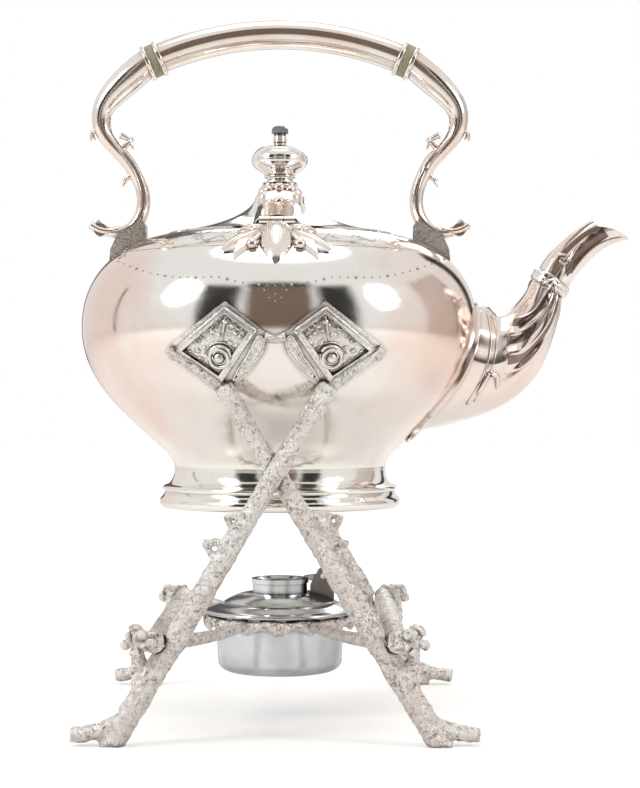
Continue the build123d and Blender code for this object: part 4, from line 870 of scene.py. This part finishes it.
bm = bmesh.new()
for strand in range(3):
    line = []
    for k in range(49):
        turn = 2 * math.pi * k / 48
        slide = 1.7 * math.sin(2 * turn + strand * 2.1) + (strand - 1) * 0.8
        line.append(band_middle + run * slide + across * band_over * math.cos(turn)
                    + Vector((0, band_side * math.sin(turn), 0)))
    tube(bm, line, 0.85)
for _, hand in ENDS:
    for angle in (-40, 0, 40):
        turn = math.radians(angle)
        root = band_middle + run * 2.4 + Vector((0, -hand * band_side, 0))
        tip = root - run * 7.4 * math.cos(turn) + across * 6.0 * math.sin(turn) + Vector((0, -hand * 0.6, 0))
        bulge = (root + tip) / 2 + Vector((0, -hand * 1.1, 0))
        tube(bm, smooth_line([root, bulge, tip], 6), 1.15, 8, swell, 0.7)
piece("spout_knot", bm, spout_metal, "kettle", 1)


# ---------------------------------------------------------------- handle: grooved edges, spurs and leaf tips
SCROLL_LINE = [(86.0, 298.0), (85.4, 290.0), (79.4, 281.0), (72.4, 271.6), (68.2, 260.0), (68.8, 249.6),
               (73.6, 242.8), (81.0, 240.4), (88.0, 241.8)]
GROOVE_SHIFT = 1.15
SPURS = (           # points, radius, sides, taper, flatness
    ([(91.6, 292.0), (93.6, 289.4), (92.4, 286.0)], 1.0, 8, fading(1.2, 0.9), 1.0),
    ([(79.5, 288.4), (75.4, 286.0), (73.4, 281.4)], 2.1, 10, fading(1.1, 0.85), 0.8),
    ([(70.8, 270.6), (75.6, 268.0), (78.8, 262.6)], 2.1, 10, fading(1.1, 0.85), 0.8),
    ([(90.4, 291.6), (93.8, 289.6), (94.6, 285.4)], 2.1, 10, fading(1.1, 0.85), 0.8),
)
LEAF_TIPS = (([(80.0, 241.6), (85.0, 240.2), (90.2, 241.0), (94.6, 243.6)], 3.1),
             ([(84.0, 241.0), (88.6, 243.0), (91.2, 245.8)], 2.0))
TIP_FLATNESS = 0.62

bm = bmesh.new()
for side, side_x in (("left", -1), ("right", 1)):
    arm_faces = surface(f"handle_arm_{side}")
    for _, hand in ENDS:
        for shift in (-GROOVE_SHIFT, GROOVE_SHIFT):
            line = [beside(side_x * (q.x + shift), q.y, hand, 0.05, arm_faces) for q in flat_line(SCROLL_LINE, 6)]
            tube(bm, [q for q in line if q is not None], 0.42, 7, swell)
    for points, radius, sides, taper, flat in SPURS:
        tube(bm, upright_line(points, side_x, 6), radius, sides, taper, flat)
    for points, radius in LEAF_TIPS:
        line = upright_line(points, side_x, 7)
        tube(bm, line, radius, 12, bulging(0.55, 0.6, 0.1, 0.62), TIP_FLATNESS)
        for hand in (-1, 1):
            tube(bm, [q + Vector((0, hand * radius * TIP_FLATNESS, 0.5)) for q in line[1:-1]], 0.55, 7, swell)
piece("handle_mouldings", bm, handle_metal, "kettle")


# ---------------------------------------------------------------- lamp ring: scalloped leaf scrolls
AROUND, SCALLOPS = 224, 14
RING_SECTION = [(0.0, 34.6), (0.0, 36.4), (0.25, 37.4), (0.5, 37.8), (0.75, 37.3), (1.0, 36.2), (1.0, 34.6)]
RING_TOP, RING_BOTTOM = 49.6, 43.4
RING_SCROLL_R, RING_SCROLL_Z = 38.0, 46.8

bm = bmesh.new()
grid = []
for i in range(AROUND):
    turn = 2 * math.pi * i / AROUND
    wave = math.sin(turn * SCALLOPS)
    top, bottom = RING_TOP + 0.5 * wave, RING_BOTTOM + 1.7 * math.cos(turn * SCALLOPS)
    ring = []
    for share, radius in RING_SECTION:
        out = radius + 1.15 * wave * math.sin(math.pi * share) + 0.5 * math.sin(2 * turn * SCALLOPS + 3 * share)
        ring.append(bm.verts.new((out * math.cos(turn), out * math.sin(turn), top + (bottom - top) * share)))
    grid.append(ring)
for i in range(AROUND):
    after = grid[(i + 1) % AROUND]
    for j in range(len(RING_SECTION)):
        k = (j + 1) % len(RING_SECTION)
        bm.faces.new((grid[i][j], after[j], after[k], grid[i][k]))
roughen(bm, 0.5, 0.3)
for k in range(SCALLOPS):
    middle = 2 * math.pi * (k + 0.25) / SCALLOPS
    for hand in (-1, 1):
        line = []
        for a, b in spiral((0, 0), 2.7, 90, 0.85, hand, 14):
            turn = middle + (hand * 3.2 + a) / RING_SCROLL_R
            z = RING_SCROLL_Z + b * 0.8
            line.append(Vector((RING_SCROLL_R * math.cos(turn), RING_SCROLL_R * math.sin(turn), z)))
        tube(bm, line, 0.6, 7, fading(1.15, 0.6))
piece("ring_leaf_scrolls", bm, bark_metal, "stand", 1)

# Curled knots on the crooks, and lumps on the ends of the stretchers
KNOT_EYE = (62.6, 89.6, 50.6)
KNOT_MIDDLE = (62.8, 89.6, 51.0)
STRETCHER_LUMPS = ((55.6, 47.4, 3.1), (59.4, 51.2, 3.0), (58.8, 46.2, 2.7), (55.2, 51.6, 2.2),
                   (62.4, 43.0, 3.0), (66.8, 46.6, 2.6))
stretcher_end = -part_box("stretcher_left")[0].y / MM - 0.4

bm = bmesh.new()
for side_x in (-1, 1):
    for side_y in (-1, 1):
        x, y, z = KNOT_EYE
        curl = spiral((0, 0), 4.6, -60, 0.95, 1, 16)
        tube(bm, [Vector((side_x * x + side_x * a, side_y * y, z + b)) for a, b in curl], 1.9, 9, narrowing)
        x, y, z = KNOT_MIDDLE
        ball(bm, (side_x * x, side_y * y, z), 2.4)
        for x, z, size in STRETCHER_LUMPS:
            ball(bm, (side_x * x, side_y * stretcher_end, z), size, (1.0, 0.75, 0.95), 14)
roughen(bm, 0.4, 0.9)
piece("bark_knots", bm, bark_metal, "stand", 1)


# ---------------------------------------------------------------- camera
CAMERA_PLACE = (0.020, -0.925, 0.158)
SENSOR_HEIGHT, LENS, SHIFT_UP = 36.0, 84.5, 0.0025

camera_data = bpy.data.cameras.new("camera")
camera_data.sensor_fit = "VERTICAL"
camera_data.sensor_height = SENSOR_HEIGHT
camera_data.lens = LENS
camera_data.shift_y = SHIFT_UP
camera = bpy.data.objects.new("camera", camera_data)
camera.location = CAMERA_PLACE
camera.rotation_euler = (math.radians(90), 0, 0)
bpy.context.scene.collection.objects.link(camera)
bpy.context.scene.camera = camera
bpy.context.scene.view_settings.view_transform = "Standard"


# ---------------------------------------------------------------- floor, world and cards
WHITE = (1, 1, 1, 1)
FLOOR_COLOUR = (0.88, 0.868, 0.85)
STAGE_ROUGHNESS = 0.9
FLOOR_SIZE = 9.0
FLOOR_NEAR, FLOOR_FAR = 0.25, 1.7           # distances between which the floor pales
FLOOR_GLOW_NEAR, FLOOR_GLOW_FAR = 0.30, 0.46
WORLD_STRENGTH, WORLD_ADDED_FOR_CAMERA, WORLD_ADDED_FOR_GLOSS = 0.85, 0.15, -0.05


def plain(name, colour):
    """A plain stage material."""
    mat, tree, shader = material(name)
    shader.inputs["Base Color"].default_value = (*colour, 1)
    shader.inputs["Roughness"].default_value = STAGE_ROUGHNESS
    return mat, tree, shader


def stage_plane(name, size, place, turn, mat, seen=True):
    """A stage rectangle, its middle at place, turned by Euler angles in degrees."""
    x, y = size[0] / 2, size[1] / 2
    mesh = bpy.data.meshes.new(name)
    mesh.from_pydata([(-x, -y, 0), (x, -y, 0), (x, y, 0), (-x, y, 0)], [], [(0, 1, 2, 3)])
    made = bpy.data.objects.new(name, mesh)
    made.location = place
    made.rotation_euler = [math.radians(a) for a in turn]
    made.data.materials.append(mat)
    made.visible_camera = seen
    bpy.context.scene.collection.objects.link(made)


floor_mat, floor_tree, floor_shader = plain("floor_white", FLOOR_COLOUR)
seen = node(floor_tree, "ShaderNodeLightPath").outputs["Is Camera Ray"]
reach = node(floor_tree, "ShaderNodeVectorMath", {0: object_space(floor_tree)}, operation="LENGTH").outputs["Value"]
glow = spread(floor_tree, reach, FLOOR_NEAR, FLOOR_FAR, FLOOR_GLOW_NEAR, FLOOR_GLOW_FAR)
floor_tree.links.new(calculate(floor_tree, "MULTIPLY", seen, glow), floor_shader.inputs["Emission Strength"])
floor_shader.inputs["Emission Color"].default_value = WHITE
stage_plane("floor", (FLOOR_SIZE, FLOOR_SIZE), (0, 0, 0), (0, 0, 0), floor_mat)

world = bpy.data.worlds.new("world")
bpy.context.scene.world = world
world.use_nodes = True
world_tree = world.node_tree
background = world_tree.nodes["Background"]
background.inputs["Color"].default_value = WHITE
path = node(world_tree, "ShaderNodeLightPath").outputs
to_camera = calculate(world_tree, "MULTIPLY_ADD", path["Is Camera Ray"], WORLD_ADDED_FOR_CAMERA, WORLD_STRENGTH)
strength = calculate(world_tree, "MULTIPLY_ADD", path["Is Glossy Ray"], WORLD_ADDED_FOR_GLOSS, to_camera)
world_tree.links.new(strength, background.inputs["Strength"])

# Cards that the camera does not see: they give the dark and warm places of the reflections
CARD_COLOURS = {
    "card_dark": (0.022, 0.021, 0.02), "card_brown": (0.17, 0.12, 0.09), "card_grey": (0.12, 0.11, 0.105),
    "card_rose": (0.60, 0.53, 0.50),
}
CARDS = (           # name, width and height, middle, turn about Z in degrees, colour
    ("card_front", (0.98, 1.28), (0.02, -1.45, 0.68), 0, "card_brown"),
    ("card_front_top", (1.06, 0.24), (0.02, -1.43, 1.43), 0, "card_dark"),
    ("card_front_left", (0.62, 1.3), (-0.84, -1.24, 0.72), -35, "card_dark"),
    ("card_front_right", (0.56, 1.3), (0.84, -1.24, 0.72), 35, "card_dark"),
    ("card_left", (0.05, 0.8), (-1.46, 0.36, 0.50), -104, "card_grey"),
    ("card_right", (0.06, 0.8), (1.27, 0.79, 0.50), 122, "card_grey"),
    ("card_right_wide", (1.0, 1.3), (1.62, 0.50, 0.68), 107, "card_rose"),
    ("card_right_rear", (0.26, 1.2), (0.85, 1.28, 0.66), 146, "card_dark"),
    ("card_rear", (0.7, 1.1), (-0.25, 1.6, 0.65), 0, "card_grey"),
)
card_finish = {name: plain(name, colour)[0] for name, colour in CARD_COLOURS.items()}
for name, size, place, turn, colour in CARDS:
    stage_plane(name, size, place, (90, 0, turn), card_finish[colour], seen=False)


# ---------------------------------------------------------------- lamps
LAMPS = (           # name, place, height it points at on the axis, size, watts, colour
    ("key", (-1.5, -0.85, 1.15), 0.16, (0.6, 0.8), 11.0, (1, 1, 1)),
    ("fill", (1.5, -0.75, 0.95), 0.16, (0.5, 0.7), 6.5, (1.0, 0.97, 0.95)),
    ("top", (0.0, 0.1, 1.7), 0.1, (1.2, 1.2), 3.0, (1, 1, 1)),
    ("back", (0.2, 1.4, 0.9), 0.16, (0.9, 0.6), 2.5, (1, 1, 1)),
)
for name, place, aim_z, size, power, colour in LAMPS:
    data = bpy.data.lights.new(name, "AREA")
    data.shape = "ELLIPSE"
    data.size, data.size_y = size
    data.energy = power
    data.color = colour
    lamp = bpy.data.objects.new(name, data)
    lamp.location = place
    lamp.rotation_euler = (Vector((0, 0, aim_z)) - Vector(place)).to_track_quat("-Z", "Y").to_euler()
    bpy.context.scene.collection.objects.link(lamp)
